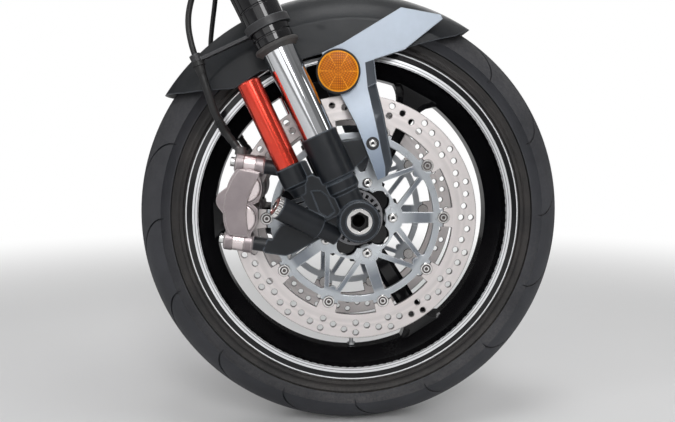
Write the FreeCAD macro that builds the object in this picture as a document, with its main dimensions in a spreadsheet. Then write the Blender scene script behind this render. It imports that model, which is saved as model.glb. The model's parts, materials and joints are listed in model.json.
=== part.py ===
import FreeCAD, Part
import Sketcher
import os
from math import atan2, cos, pi, radians, sin, sqrt, tan
from types import SimpleNamespace

# Front end of a sport motorcycle: wheel, twin discs, upside-down fork, lower yoke and mudguard.
# Frame: +X forward, +Y to the rider's left, +Z up, millimetres.
# The origin is the lower bearing seat of the steering stem.

# Every row: alias on the sheet, value, what it measures
SIZES = [
    ("rake", 25, "lean of stem and legs from the vertical, degrees"),
    ("fork_offset", 30, "legs ahead of the stem axis"),
    ("axle_drop", 530, "axle below the bearing seat, along the leg"),
    ("tyre_half", 60, "half the width of the tyre"),
    ("guard_side", 15, "side of the mudguard beyond the tyre"),
    ("leg_side", 30, "leg axis beyond the side of the mudguard"),
    ("disc_in", 35, "disc middle plane inside the leg axis"),
    ("disc_seat", 10, "carrier seat inside the disc middle plane"),
    ("bearing_in", 10, "end of the hub inside the carrier seat"),
    ("snug", 0.05, "radial clearance where round pieces seat"),
    ("stem_radius", 15, "steering stem at its bearing seats"),
    ("stem_bore", 9, "radius of the hole up the stem"),
    ("head_length", 142, "bearing seats of the stem, end to end"),
    ("stem_thread_radius", 12.5, "threaded end of the stem"),
    ("stem_thread", 45, "length of the threaded end"),
    ("seat_flange_radius", 24, "flange below the lower bearing seat"),
    ("seat_flange", 4, "thickness of that flange"),
    ("lower_yoke", 38, "thickness of the lower yoke"),
    ("yoke_wall", 12, "yoke around the fork tube and the stem"),
    ("yoke_slit", 3, "slit of each clamp"),
    ("yoke_waist", 34, "depth of the yoke between stem and clamp"),
    ("clamp_ear", 10, "ears of a clamp ahead of its ring"),
    ("clamp_bolt_radius", 4, "pinch bolts of the yoke"),
    ("tube_clamp_radius", 28.5, "outer tube in the lower yoke"),
    ("tube_top_radius", 26.5, "outer tube at its upper end"),
    ("tube_mouth", 25.5, "outer tube at its lower end"),
    ("tube_above", 62, "fork tube above the upper bearing seat"),
    ("top_seat", 96, "straight upper end of the outer tube"),
    ("groove_depth", 1.2, "grooves round the outer tube"),
    ("groove_width", 3, "grooves round the outer tube"),
    ("cap_radius", 23, "fork cap"),
    ("cap_height", 9, "fork cap above the tube"),
    ("cap_hex", 12, "preload adjuster across corners, half"),
    ("seal_up", 246, "lower end of the outer tube, up the leg from the axle"),
    ("seal_radius", 29, "dust seal flange"),
    ("seal_height", 9, "dust seal"),
    ("stanchion_radius", 21.5, "chromed inner tube"),
    ("stanchion_wall", 2.5, "chromed inner tube"),
    ("stanchion_sunk", 48, "inner tube inside the foot"),
    ("foot_up", 122, "top of the foot, up the leg from the axle"),
    ("foot_radius", 24, "foot round the inner tube"),
    ("foot_neck", 18, "foot radius just above the axle boss"),
    ("foot_collar", 21.5, "foot radius above that neck"),
    ("boss_radius", 27, "axle boss"),
    ("boss_out", 22, "axle boss beyond the leg axis"),
    ("boss_in", 25, "axle boss inside the leg axis"),
    ("web_half", 9, "half thickness of the foot's web"),
    ("web_panel", 3.5, "panel sunk into the web"),
    ("chamber_back", 52, "damper chamber axis behind the leg axis"),
    ("chamber_radius", 15.2, "damper chamber"),
    ("chamber_low", 101, "foot of the chamber, up the leg from the axle"),
    ("chamber_top", 219, "top of the chamber"),
    ("chamber_boss", 17.5, "boss that carries the chamber"),
    ("chamber_boss_depth", 25, "height of that boss"),
    ("adjuster_radius", 15, "damping adjuster housing"),
    ("adjuster_neck", 11.5, "neck of that housing at the axle boss"),
    ("adjuster_length", 86, "damping adjuster housing with its neck"),
    ("adjuster_cap", 6, "ring at the end of that housing"),
    ("adjuster_back", 28, "root of the housing behind the axle"),
    ("adjuster_drop", 21, "root of the housing below the axle"),
    ("adjuster_slope", 28.4, "rise of the housing towards its cap, degrees"),
    ("adjuster_turn", 15, "housing turned outwards, degrees"),
    ("caliper_tilt", 9, "caliper turned about the axle, degrees"),
    ("lug_in", 8, "caliper bolt axes inside the leg axis"),
    ("lug_radius", 9.5, "caliper lug"),
    ("lug_cover", 35.5, "face of the caliper lugs inside the disc edge"),
    ("lug_length", 37.5, "caliper lug of the foot along its bolt"),
    ("lug_reach", 50, "caliper bolts above and below the caliper's middle"),
    ("lug_depth", 38, "caliper lug along its bolt"),
    ("caliper_bolt", 6, "head of a caliper bolt"),
    ("caliper_slot", 7, "clearance slot of the caliper, half"),
    ("caliper_rim", 1.5, "body of the caliper beyond its lugs"),
    ("caliper_plate", 4.5, "raised plate on the outer face of the caliper"),
    ("piston_boss", 19, "radius of a piston boss"),
    ("piston_reach", 20, "pistons above and below the caliper's middle"),
    ("piston_cover", 16, "pistons inside the disc edge"),
    ("pad_wall", 9, "brake pad with its backing plate"),
    ("pad_gap", 0.4, "pad from disc"),
    ("pad_half", 32, "half the length of a pad"),
    ("guard_lug_ahead", 59, "mudguard bolt ahead of the leg axis"),
    ("guard_lug_up", 82, "mudguard bolt up the leg"),
    ("bead_radius", 217.5, "bead seat of the rim"),
    ("tyre_height", 82.5, "tread at the middle above the bead seat"),
    ("shoulder_height", 44.5, "widest place of the tyre above the bead seat"),
    ("tyre_wall", 9, "tread and casing"),
    ("sidewall_arc", 34, "rounding of the sidewall"),
    ("rim_edge", 15.5, "inside of the rim flange inside the tyre's side"),
    ("flange_height", 13.2, "rim flange above the bead seat"),
    ("flange_width", 7.5, "width of the rim edge"),
    ("barrel_depth", 21.5, "inside of the rim at its middle, below the bead seat"),
    ("rim_wall", 4, "wall of the rim barrel"),
    ("hub_radius", 34, "hub barrel"),
    ("hub_flange_back", 10, "disc flange behind its seat"),
    ("spoke_half", 14, "half width of a spoke at its middle"),
    ("spoke_depth", 15, "half depth of a spoke at the rim"),
    ("spoke_turn", 28, "first spoke ahead of straight up, degrees"),
    ("axle_radius", 12.5, "axle in the wheel"),
    ("axle_head_radius", 17, "axle head in the right foot"),
    ("axle_bore", 8, "hole through the axle"),
    ("hex_half", 11, "hexagon socket across flats, half"),
    ("hex_depth", 14, "hexagon socket"),
    ("nut_radius", 20, "axle nut across corners, half"),
    ("nut_height", 9, "axle nut"),
    ("bearing_radius", 23.5, "wheel bearing"),
    ("bearing_width", 12, "wheel bearing"),
    ("running_gap", 0.3, "between a turning face and a fixed one"),
    ("disc_room", 31, "disc edge below the inside of the rim"),
    ("disc_thickness", 5, "brake disc"),
    ("disc_band", 33, "width of the friction ring"),
    ("drill_radius", 3.9, "holes drilled through the disc"),
    ("bobbin_in", 12.5, "bobbins inside the friction ring"),
    ("bobbin_radius", 8, "disc bobbin"),
    ("bobbin_half", 4, "half the length of a bobbin"),
    ("carrier_in", 4.5, "outer edge of the carrier ring inside the bobbins"),
    ("carrier_ring", 9, "width of the carrier ring"),
    ("carrier_hub", 41, "hole in the middle of the carrier"),
    ("carrier_bolts", 50, "carrier bolts from the axle"),
    ("carrier_boss", 11, "boss round a carrier bolt"),
    ("carrier_bolt", 7, "head of a carrier bolt"),
    ("carrier_thickness", 5, "disc carrier"),
    ("guard_gap", 9, "mudguard above the tread"),
    ("guard_wall", 3, "mudguard"),
    ("arm_wall", 8, "mudguard arm beside the mudguard"),
    ("reflector_radius", 29, "reflector with its rim"),
    ("reflector_depth", 8, "reflector"),
    ("reflector_up", 185, "reflector up the leg"),
    ("hose_radius", 3.75, "brake hose"),
    ("banjo_radius", 8, "banjo eye"),
    ("banjo_height", 8, "banjo eye along its bolt"),
    ("banjo_cover", 3, "banjo inside the disc edge"),
    ("guide_up", 266, "hose guide up the leg from the axle"),
    ("guide_height", 10, "hose guide"),
    ("guide_back", 98, "hose behind the leg axis at its guide"),
    ("union_height", 18, "hose union under the lower yoke"),
]

doc = FreeCAD.newDocument("FrontEnd")
sheet = doc.addObject("Spreadsheet::Sheet", "Sizes")
for row, (alias, value, meaning) in enumerate(SIZES, start=1):
    sheet.set(f"A{row}", str(value))
    sheet.setAlias(f"A{row}", alias)
    sheet.set(f"B{row}", meaning)
doc.recompute()


class Size(float):
    """A number that knows its formula on the sheet."""

    def __new__(cls, number, text):
        size = super().__new__(cls, number)
        size.text = text
        return size

    def __add__(self, other):
        return Size(float(self) + float(other), f"({self.text} + {formula(other)})")

    def __radd__(self, other):
        return Size(float(other) + float(self), f"({formula(other)} + {self.text})")

    def __sub__(self, other):
        return Size(float(self) - float(other), f"({self.text} - {formula(other)})")

    def __rsub__(self, other):
        return Size(float(other) - float(self), f"({formula(other)} - {self.text})")

    def __mul__(self, other):
        return Size(float(self) * float(other), f"({self.text} * {formula(other)})")

    def __rmul__(self, other):
        return Size(float(other) * float(self), f"({formula(other)} * {self.text})")

    def __truediv__(self, other):
        return Size(float(self) / float(other), f"({self.text} / {formula(other)})")

    def __neg__(self):
        return Size(-float(self), f"(-{self.text})")


def formula(value):
    return value.text if isinstance(value, Size) else f"{float(value):.9f}"


def sine(angle):
    return Size(sin(radians(angle)), f"sin({formula(angle)})")


def cosine(angle):
    return Size(cos(radians(angle)), f"cos({formula(angle)})")


def around(radius, angle):
    """Point on a circle about the sketch origin."""
    return radius * cosine(angle), radius * sine(angle)


d = SimpleNamespace(**{row[0]: Size(sheet.get(row[0]), f"Sizes.{row[0]}") for row in SIZES})

d.guard_half = d.tyre_half + d.guard_side
d.leg_half = d.guard_half + d.leg_side
d.disc_half = d.leg_half - d.disc_in
d.disc_face = d.disc_half - d.disc_seat
d.hub_half = d.disc_face - d.bearing_in
d.lug_half = d.leg_half - d.lug_in
d.rim_half = d.tyre_half - d.rim_edge
d.wheel_radius = d.bead_radius + d.tyre_height
d.shoulder_radius = d.bead_radius + d.shoulder_height
d.flange_radius = d.bead_radius + d.flange_height
d.barrel_inner = d.bead_radius - d.barrel_depth
d.guard_inner = d.wheel_radius + d.guard_gap
d.disc_radius = d.barrel_inner - d.disc_room
d.disc_inner = d.disc_radius - d.disc_band
d.bobbin_circle = d.disc_inner - d.bobbin_in
d.carrier_radius = d.bobbin_circle - d.carrier_in
d.lug_face = d.disc_radius - d.lug_cover
d.piston_back = d.disc_radius - d.piston_cover
d.banjo_back = d.disc_radius - d.banjo_cover
yoke_top = -d.seat_flange
yoke_base = yoke_top - d.lower_yoke
tube_top = d.axle_drop + d.head_length + d.tube_above

SIDES = (("right", -1), ("left", 1))
up_leg = (-sine(d.rake), 0, cosine(d.rake))
AXLE = (d.fork_offset * cosine(d.rake) + d.axle_drop * sine(d.rake),
        d.fork_offset * sine(d.rake) - d.axle_drop * cosine(d.rake))
subparts = []


def bind(thing, name, value):
    """Set a property to a size and tie it to the size's formula."""
    if "." not in name:
        setattr(thing, name, float(value))
    if isinstance(value, Size):
        thing.setExpression(name, value.text)


def place(thing, x=0, y=0, z=0, lean=0):
    """Move a piece to its place, and lean it backwards by an angle."""
    turn = FreeCAD.Rotation(FreeCAD.Vector(0, -1, 0), float(lean))
    thing.Placement = FreeCAD.Placement(FreeCAD.Vector(x, y, z), turn)
    for axis, value in zip("xyz", (x, y, z)):
        bind(thing, f"Placement.Base.{axis}", value)
    if lean:
        bind(thing, "Placement.Rotation.Angle", lean)
    return thing


def on_stem(thing):
    return place(thing, lean=d.rake)


def on_leg(thing, side):
    return place(thing, AXLE[0], side * d.leg_half, AXLE[1], lean=d.rake)


def on_axle(thing, y=0, lean=0):
    return place(thing, AXLE[0], y, AXLE[1], lean)


def keep(thing, label):
    """Name a finished sub-part and add it to those that are written."""
    thing.Label = label
    subparts.append(thing)
    return thing


def new_body(name):
    return doc.addObject("PartDesign::Body", name)


def origin_item(body, role):
    return next(item for item in body.Origin.OriginFeatures if item.Role == role)


def circle(h, v, radius):
    return ("circle", h, v, radius)


def draw(body, plane, at, loops):
    """Sketch closed loops on a plane of the body, moved along the plane's own axis.

    A loop is a circle, or rows of across, up and, where an arc ends at the row, its radius:
    positive where it turns to the left, negative where it turns to the right.
    """
    sketch = body.newObject("Sketcher::SketchObject", "Sketch")
    sketch.AttachmentSupport = [(origin_item(body, f"{plane}_Plane"), "")]
    sketch.MapMode = "FlatFace"
    along = -at if plane == "XZ" else at
    sketch.AttachmentOffset = FreeCAD.Placement(FreeCAD.Vector(0, 0, float(along)), FreeCAD.Rotation())
    bind(sketch, "AttachmentOffset.Base.z", along)

    def fix(kind, edge, end, value):
        index = sketch.addConstraint(Sketcher.Constraint(kind, -1, 1, edge, end, float(value)))
        if isinstance(value, Size):
            sketch.setExpression(f"Constraints[{index}]", value.text)

    def fix_radius(edge, value):
        index = sketch.addConstraint(Sketcher.Constraint("Radius", edge, abs(float(value))))
        if isinstance(value, Size):
            sketch.setExpression(f"Constraints[{index}]", f"abs({value.text})")

    for loop in loops:
        if loop[0] == "circle":
            h, v, radius = loop[1:]
            edge = sketch.addGeometry(Part.Circle(FreeCAD.Vector(h, v, 0), FreeCAD.Vector(0, 0, 1), radius), False)
            fix("DistanceX", edge, 3, h)
            fix("DistanceY", edge, 3, v)
            fix_radius(edge, radius)
            continue
        ends = []
        for number, row in enumerate(loop):
            before = loop[number - 1]
            start, end = FreeCAD.Vector(before[0], before[1], 0), FreeCAD.Vector(row[0], row[1], 0)
            if len(row) == 2:
                ends.append((sketch.addGeometry(Part.LineSegment(start, end), False), 1, 2))
                continue
            radius, chord = row[2], end - start
            rise = sqrt(max(radius * radius - chord.Length ** 2 / 4, 0))
            across = FreeCAD.Vector(-chord.y, chord.x, 0).normalize()
            centre = start + chord / 2 + across * (rise if radius > 0 else -rise)
            first, last = (start, end) if radius > 0 else (end, start)
            whole = Part.Circle(centre, FreeCAD.Vector(0, 0, 1), abs(radius))
            arc = Part.ArcOfCircle(whole, atan2(first.y - centre.y, first.x - centre.x),
                                   atan2(last.y - centre.y, last.x - centre.x))
            edge = sketch.addGeometry(arc, False)
            ends.append((edge, 1, 2) if radius > 0 else (edge, 2, 1))
            fix_radius(edge, radius)
        for number, (edge, head, tail) in enumerate(ends):
            joined = ends[(number + 1) % len(ends)]
            sketch.addConstraint(Sketcher.Constraint("Coincident", edge, tail, joined[0], joined[1]))
            fix("DistanceX", edge, tail, loop[number][0])
            fix("DistanceY", edge, tail, loop[number][1])
    return sketch


def pad(body, plane, low, high, loops):
    """Add loops to the body between two heights along the plane's own axis."""
    feature = body.newObject("PartDesign::Pad", "Pad")
    feature.Profile = draw(body, plane, low, loops)
    bind(feature, "Length", high - low)
    feature.Reversed = plane == "XZ"
    return feature


def cut(body, plane, low, high, loops):
    """Cut loops out of the body between two heights along the plane's own axis."""
    doc.recompute()
    before = body.Shape.Volume
    feature = body.newObject("PartDesign::Pocket", "Pocket")
    feature.Profile = draw(body, plane, low if plane == "XZ" else high, loops)
    bind(feature, "Length", high - low)
    doc.recompute()
    if body.Shape.Volume > before - 1:
        raise RuntimeError(f"{body.Name}: {feature.Name} cuts nothing")
    return feature


def revolve(body, plane, axis, loops, angle=360):
    """Turn loops about an axis of the sketch, half the angle to each side."""
    feature = body.newObject("PartDesign::Revolution", "Revolution")
    feature.Profile = draw(body, plane, 0, loops)
    feature.ReferenceAxis = (feature.Profile[0], [f"{axis}_Axis"])
    feature.Midplane = angle != 360
    bind(feature, "Angle", angle)
    return feature


def repeat(body, features, count, axis="Y"):
    """Repeat features about an axis of the body."""
    pattern = body.newObject("PartDesign::PolarPattern", "PolarPattern")
    pattern.Originals = features
    pattern.Axis = (origin_item(body, f"{axis}_Axis"), [""])
    pattern.Angle = 360
    pattern.Occurrences = count
    body.Tip = pattern
    return pattern


def rod(name, radius, length, centre, direction, hole=None):
    """Part primitive: a round bar from a point, along a direction, with a hole if asked."""
    def bar(kind_name, size):
        item = doc.addObject("Part::Cylinder", kind_name)
        bind(item, "Radius", size)
        bind(item, "Height", length)
        turn = FreeCAD.Rotation(FreeCAD.Vector(0, 0, 1), FreeCAD.Vector(*[float(part) for part in direction]))
        item.Placement = FreeCAD.Placement(FreeCAD.Vector(*[float(part) for part in centre]), turn)
        for axis, value in zip("xyz", centre):
            bind(item, f"Placement.Base.{axis}", value)
        return item

    solid = bar(name, radius)
    return cut_from(name, solid, [bar(f"{name}Hole", hole)]) if hole else solid


def fuse(name, pieces):
    joined = doc.addObject("Part::MultiFuse", name)
    joined.Shapes = pieces
    return joined


def cut_from(name, base, tools):
    for tool in tools:
        result = doc.addObject("Part::Cut", name)
        result.Base, result.Tool = base, tool
        base = result
    return base


def loft(body, plane, sections, ruled=False):
    """Join sketched sections, each given as a height along the plane's own axis and one loop."""
    sketches = [draw(body, plane, at, [loop]) for at, loop in sections]
    feature = body.newObject("PartDesign::AdditiveLoft", "Loft")
    feature.Profile = sketches[0]
    feature.Sections = sketches[1:]
    feature.Ruled = ruled
    return feature


def soften(body, radius, wanted):
    """Round the edges of the body so far that a test picks."""
    doc.recompute()
    tip = body.Tip
    names = [f"Edge{number}" for number, edge in enumerate(tip.Shape.Edges, start=1) if wanted(edge)]
    if not names:
        raise RuntimeError(f"{body.Name}: no edge to round")
    fillet = body.newObject("PartDesign::Fillet", "Fillet")
    fillet.Base = (tip, names)
    bind(fillet, "Radius", radius)
    return fillet


def span(side, inner, outer):
    """Low and high along Y of a stretch measured outwards on one side."""
    return (inner, outer) if side > 0 else (-outer, -inner)


def from_axle(x, y, z):
    """A place given from the axle's middle, in the frame of the whole."""
    return AXLE[0] + x, y, AXLE[1] + z


def tilted(ahead, up):
    """A place in the caliper's frame, turned to X and Z from the axle."""
    return (ahead * cosine(d.caliper_tilt) + up * sine(d.caliper_tilt),
            up * cosine(d.caliper_tilt) - ahead * sine(d.caliper_tilt))


def on_disc(thing, side):
    """Place a piece drawn in the caliper's frame, with its middle on the disc."""
    return on_axle(thing, side * d.disc_half, lean=360 - d.caliper_tilt)


def leg_point(ahead, up):
    """Ahead of the leg axis and up it, turned to X and Z from the axle."""
    return (ahead * cosine(d.rake) - up * sine(d.rake), ahead * sine(d.rake) + up * cosine(d.rake))


def leg_place(side, ahead, out, up):
    """A place given ahead of the leg axis, from the middle plane and up the leg."""
    x, z = leg_point(ahead, up)
    return from_axle(x, side * out, z)


def make_stem():
    stem = new_body("Stem")
    thread_base = d.head_length + 4
    thread_top = d.head_length + d.stem_thread
    revolve(stem, "XZ", "V", [[
        (d.stem_bore, yoke_base),
        (d.stem_radius + 1, yoke_base),
        (d.stem_radius + 1, yoke_top),
        (d.seat_flange_radius, yoke_top),
        (d.seat_flange_radius, 0),
        (d.stem_radius, 0),
        (d.stem_radius, d.head_length),
        (d.stem_thread_radius, thread_base),
        (d.stem_thread_radius, thread_top - 1),
        (d.stem_thread_radius - 1, thread_top),
        (d.stem_bore, thread_top),
    ]])
    keep(on_stem(stem), "steering_stem")


def make_yoke():
    """Two split clamps on a waisted bridge, with hollows beside the stem."""
    yoke = new_body("LowerYoke")
    clamp = d.tube_clamp_radius + d.yoke_wall
    hub = d.stem_radius + d.yoke_wall
    half = d.yoke_waist / 2
    for side in (-1, 1):
        pad(yoke, "XY", yoke_base, yoke_top, [circle(d.fork_offset, side * d.leg_half, clamp)])
        ear = d.fork_offset + clamp
        low, high = span(side, d.leg_half - 12, d.leg_half + 12)
        pad(yoke, "XY", yoke_base, yoke_top, [[
            (ear - 9, low - 5), (ear + d.clamp_ear, low), (ear + d.clamp_ear, high), (ear - 9, high + 5)]])
    pad(yoke, "XY", yoke_base, yoke_top, [circle(0, 0, hub)])
    waist = d.leg_half * 0.45
    pad(yoke, "XY", yoke_base, yoke_top, [[
        (d.fork_offset + half, -d.leg_half),
        (d.fork_offset + half * 0.4, -waist),
        (hub * 0.9, 0),
        (d.fork_offset + half * 0.4, waist),
        (d.fork_offset + half, d.leg_half),
        (d.fork_offset - half, d.leg_half),
        (-hub * 0.7, hub * 0.7),
        (-hub * 0.7, -hub * 0.7),
        (d.fork_offset - half, -d.leg_half),
    ]])
    for side in (-1, 1):
        low, high = hub + 4, d.leg_half - clamp - 3
        middle = d.fork_offset * 0.55
        cut(yoke, "XY", yoke_base, yoke_top - 8, [[
            (middle - 7, side * low), (middle + 11, side * low),
            (d.fork_offset + 9, side * high), (d.fork_offset - 10, side * high)]])
    soften(yoke, 3, lambda edge: edge.BoundBox.ZLength < 0.01 and abs(edge.BoundBox.ZMax - yoke_top) < 0.01)
    cut(yoke, "XY", yoke_base, yoke_top + 1, [circle(0, 0, d.stem_radius + 1 + d.snug)])
    for side in (-1, 1):
        middle = side * d.leg_half
        cut(yoke, "XY", yoke_base, yoke_top + 1, [circle(d.fork_offset, middle, d.tube_clamp_radius + d.snug)])
        cut(yoke, "XY", yoke_base, yoke_top + 1, [[
            (d.fork_offset, middle - d.yoke_slit / 2),
            (d.fork_offset + clamp + 12, middle - d.yoke_slit / 2),
            (d.fork_offset + clamp + 12, middle + d.yoke_slit / 2),
            (d.fork_offset, middle + d.yoke_slit / 2)]])
        for height in clamp_heights:
            cut(yoke, "XZ", middle - 18, middle + 18, [
                circle(d.fork_offset + clamp + d.clamp_ear / 2, height, d.clamp_bolt_radius + d.snug)])
    keep(on_stem(yoke), "lower_yoke")

    bolts = []
    ahead = clamp + d.clamp_ear / 2
    for name, side in SIDES:
        for height in clamp_heights:
            x, y, z = leg_place(side, ahead, d.leg_half, height + d.axle_drop)
            bolts.append(rod("ClampBolt", d.clamp_bolt_radius, 24, (x, y - 12, z), (0, 1, 0)))
    keep(fuse("ClampBolts", bolts), "yoke_bolts")


def make_outer_tube(name, side):
    """Outer tube from its sealed mouth up through the yoke, grooved near the mouth."""
    low, top = d.seal_up, tube_top
    clamp_base = d.axle_drop + yoke_base
    inner = d.stanchion_radius + d.snug
    tube = new_body("OuterTube")
    grooves = []
    for up in (9, 24, 47):
        deep, start, end = d.tube_mouth - d.groove_depth, low + up, low + up + d.groove_width
        grooves += [(d.tube_mouth, start), (deep, start + 0.6), (deep, end - 0.6), (d.tube_mouth, end)]
    revolve(tube, "XZ", "V", [[
        (inner, low),
        (d.tube_mouth - 1, low),
        (d.tube_mouth, low + 1),
        *grooves,
        (d.tube_mouth, low + 100),
        (d.tube_clamp_radius, clamp_base - 30),
        (d.tube_clamp_radius, clamp_base + d.lower_yoke + 14),
        (d.tube_top_radius, top - d.top_seat),
        (d.tube_top_radius, top),
        (inner, top),
    ]])
    keep(on_leg(tube, side), f"outer_tube_{name}")

    cap = new_body("ForkCap")
    revolve(cap, "XZ", "V", [[
        (0, top - 20),
        (inner - 2 * d.snug, top - 20),
        (inner - 2 * d.snug, top),
        (d.cap_radius, top),
        (d.cap_radius, top + d.cap_height - 2),
        (d.cap_radius - 2, top + d.cap_height),
        (0, top + d.cap_height),
    ]])
    pad(cap, "XY", top + d.cap_height, top + d.cap_height + 6,
        [[around(d.cap_hex, 60 * corner) for corner in range(6)]])
    cut(cap, "XY", top + d.cap_height + 1, top + d.cap_height + 7, [circle(0, 0, d.cap_hex * 0.45)])
    keep(on_leg(cap, side), f"fork_cap_{name}")


def make_stanchion(name, side):
    tube = new_body("Stanchion")
    low = d.foot_up - d.stanchion_sunk
    top = d.seal_up + 90
    inner = d.stanchion_radius - d.stanchion_wall
    revolve(tube, "XZ", "V", [[
        (inner, low), (d.stanchion_radius, low), (d.stanchion_radius, top), (inner, top)]])
    keep(on_leg(tube, side), f"stanchion_{name}")


def make_seals():
    pieces = []
    for name, side in SIDES:
        seal = new_body("DustSeal")
        low, high = d.seal_up - d.seal_height, d.seal_up
        revolve(seal, "XZ", "V", [[
            (d.stanchion_radius + d.snug, low),
            (d.stanchion_radius + 2, low),
            (d.seal_radius - 2, low + 3.5),
            (d.seal_radius, low + 4.5),
            (d.seal_radius, high - 1.5),
            (d.seal_radius - 1.5, high),
            (d.stanchion_radius + d.snug, high)]])
        pieces.append(on_leg(seal, side))
    keep(fuse("DustSeals", pieces), "fork_seals")


def adjuster_frame(side):
    """Start and direction of the adjuster housing, from the axle."""
    level = cosine(d.adjuster_turn)
    direction = (-cosine(d.adjuster_slope) * level, side * sine(d.adjuster_turn), sine(d.adjuster_slope) * level)
    start = from_axle(-d.adjuster_back, side * d.leg_half, -d.adjuster_drop)
    return start, direction


def make_foot(name, side):
    """Foot of the leg: tube socket, axle boss, chamber boss, adjuster housing and caliper lugs."""
    socket = new_body("FootSocket")
    bore = d.stanchion_radius + d.snug
    seat = d.foot_up - d.stanchion_sunk
    revolve(socket, "XZ", "V", [[
        (0, d.boss_radius * 0.5),
        (d.foot_neck, d.boss_radius * 0.5),
        (d.foot_neck, 40),
        (d.foot_collar, 45),
        (d.foot_collar, 57),
        (d.foot_collar - 1.5, 58),
        (d.foot_collar - 1.5, 60),
        (d.foot_radius, 62),
        (d.foot_radius, d.foot_up - 1),
        (d.foot_radius - 1, d.foot_up),
        (0, d.foot_up),
    ]])
    boss_base = d.chamber_low - d.chamber_boss_depth
    pad(socket, "XZ", -d.web_half, d.web_half, [[
        (0, 18), (0, boss_base - 12), (-15, boss_base - 12), (-29, boss_base + 3), (-d.chamber_back, boss_base + 3),
        (-d.chamber_back - 2, boss_base - 13), (-d.chamber_back + 2, 27), (-40, 18), (-26, 18)]])
    pad(socket, "XZ", -d.web_half + 2, d.web_half - 2, [[
        (-d.chamber_back, boss_base), (-28, boss_base), (-28, d.chamber_low - 3), (-30, d.chamber_low - 1),
        (-d.chamber_back, d.chamber_low - 1)]])
    cut(socket, "XZ", *span(side, d.web_half - d.web_panel, d.web_half), [[
        (-39, 61), (-28, 56), (-23, 46), (-23, 24), (-34, 21), (-41, 31)]])
    lug = d.guard_lug_ahead
    pad(socket, "XZ", *span(side, -15, -7), [[
        (0, d.guard_lug_up - 26), (lug, d.guard_lug_up - 9),
        (lug, d.guard_lug_up + 9, 11), (0, d.guard_lug_up + 26)]])
    cut(socket, "XY", seat, d.foot_up + 1, [circle(0, 0, bore)])
    cut(socket, "XZ", *span(side, -16, -6), [circle(lug, d.guard_lug_up, 4)])
    on_leg(socket, side)

    chamber_boss = new_body("ChamberBoss")
    revolve(chamber_boss, "XZ", "V", [[
        (0, boss_base - 15), (d.chamber_boss - 7, boss_base - 15), (d.chamber_boss - 4, boss_base - 4),
        (d.chamber_boss, boss_base), (d.chamber_boss, d.chamber_low - 1), (d.chamber_boss - 1, d.chamber_low),
        (0, d.chamber_low)]])
    back = leg_point(-d.chamber_back, 0)
    place(chamber_boss, AXLE[0] + back[0], side * d.leg_half, AXLE[1] + back[1], lean=d.rake)

    low, high = span(side, d.leg_half - d.boss_in, d.leg_half + d.boss_out)
    boss = new_body("AxleBoss")
    revolve(boss, "YZ", "H", [[
        (low, 0), (low, d.boss_radius - 2), (low + 2, d.boss_radius),
        (high - 2, d.boss_radius), (high, d.boss_radius - 2), (high, 0)]])
    on_axle(boss)
    start, direction = adjuster_frame(side)
    neck = rod("AdjusterNeck", d.adjuster_neck, d.adjuster_length * 0.6, start, direction)
    begin = [place + d.adjuster_length * 0.32 * step for place, step in zip(start, direction)]
    housing = rod("AdjusterHousing", d.adjuster_radius, d.adjuster_length * 0.68, begin, direction)

    arm = new_body("LugArm")
    lug_at = d.leg_half - d.lug_half
    low_y, high_y = span(side, -lug_at - d.lug_radius, -lug_at + d.lug_radius)
    pad(arm, "XZ", low_y, high_y, [[
        (-d.lug_face + 18, d.lug_radius - d.lug_reach - 1),
        (-d.lug_face + 14, -d.lug_reach - d.lug_radius + 3),
        (-d.lug_face + 17, -d.lug_reach - d.lug_radius),
        (-86, -d.lug_reach - d.lug_radius),
        (-77, -d.lug_reach - 5),
        (-46, -32),
        (-20, -18),
        (0, 0),
        (-60, 2),
        (-89, 33 - d.lug_reach),
        (-98, 28 - d.lug_reach),
        (-103, 18 - d.lug_reach),
        (-106, d.lug_radius - d.lug_reach - 1)]])
    tilt = 360 - d.caliper_tilt
    on_axle(arm, side * d.leg_half, lean=tilt)
    lugs = []
    for reach in (d.lug_reach, -d.lug_reach):
        x, z = tilted(-d.lug_face, reach)
        lugs.append(rod("Lug", d.lug_radius, d.lug_length, from_axle(x, side * d.lug_half, z),
                        (cosine(d.caliper_tilt), 0, -sine(d.caliper_tilt))))
    foot = fuse("Foot", [socket, chamber_boss, boss, neck, housing, arm, *lugs])
    head = d.axle_head_radius if side < 0 else d.axle_radius
    hole = rod("AxleHole", head + d.snug, high - low + 2, from_axle(0, low - 1, 0), (0, 1, 0))
    x, z = leg_point(-d.chamber_back, d.chamber_low)
    seat = rod("ChamberSeat", d.chamber_radius + d.snug, 30, from_axle(x, side * d.leg_half, z), up_leg)
    keep(cut_from("FootBored", foot, [hole, seat]), f"fork_foot_{name}")


def make_chamber(name, side):
    chamber = new_body("DamperChamber")
    top = d.chamber_top
    revolve(chamber, "XZ", "V", [[
        (0, d.chamber_low), (d.chamber_radius, d.chamber_low), (d.chamber_radius, top - 2),
        (d.chamber_radius - 2, top), (5, top), (5, top - 4), (0, top - 4)]])
    back = leg_point(-d.chamber_back, 0)
    place(chamber, AXLE[0] + back[0], side * d.leg_half, AXLE[1] + back[1], lean=d.rake)
    keep(chamber, f"damper_chamber_{name}")


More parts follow.
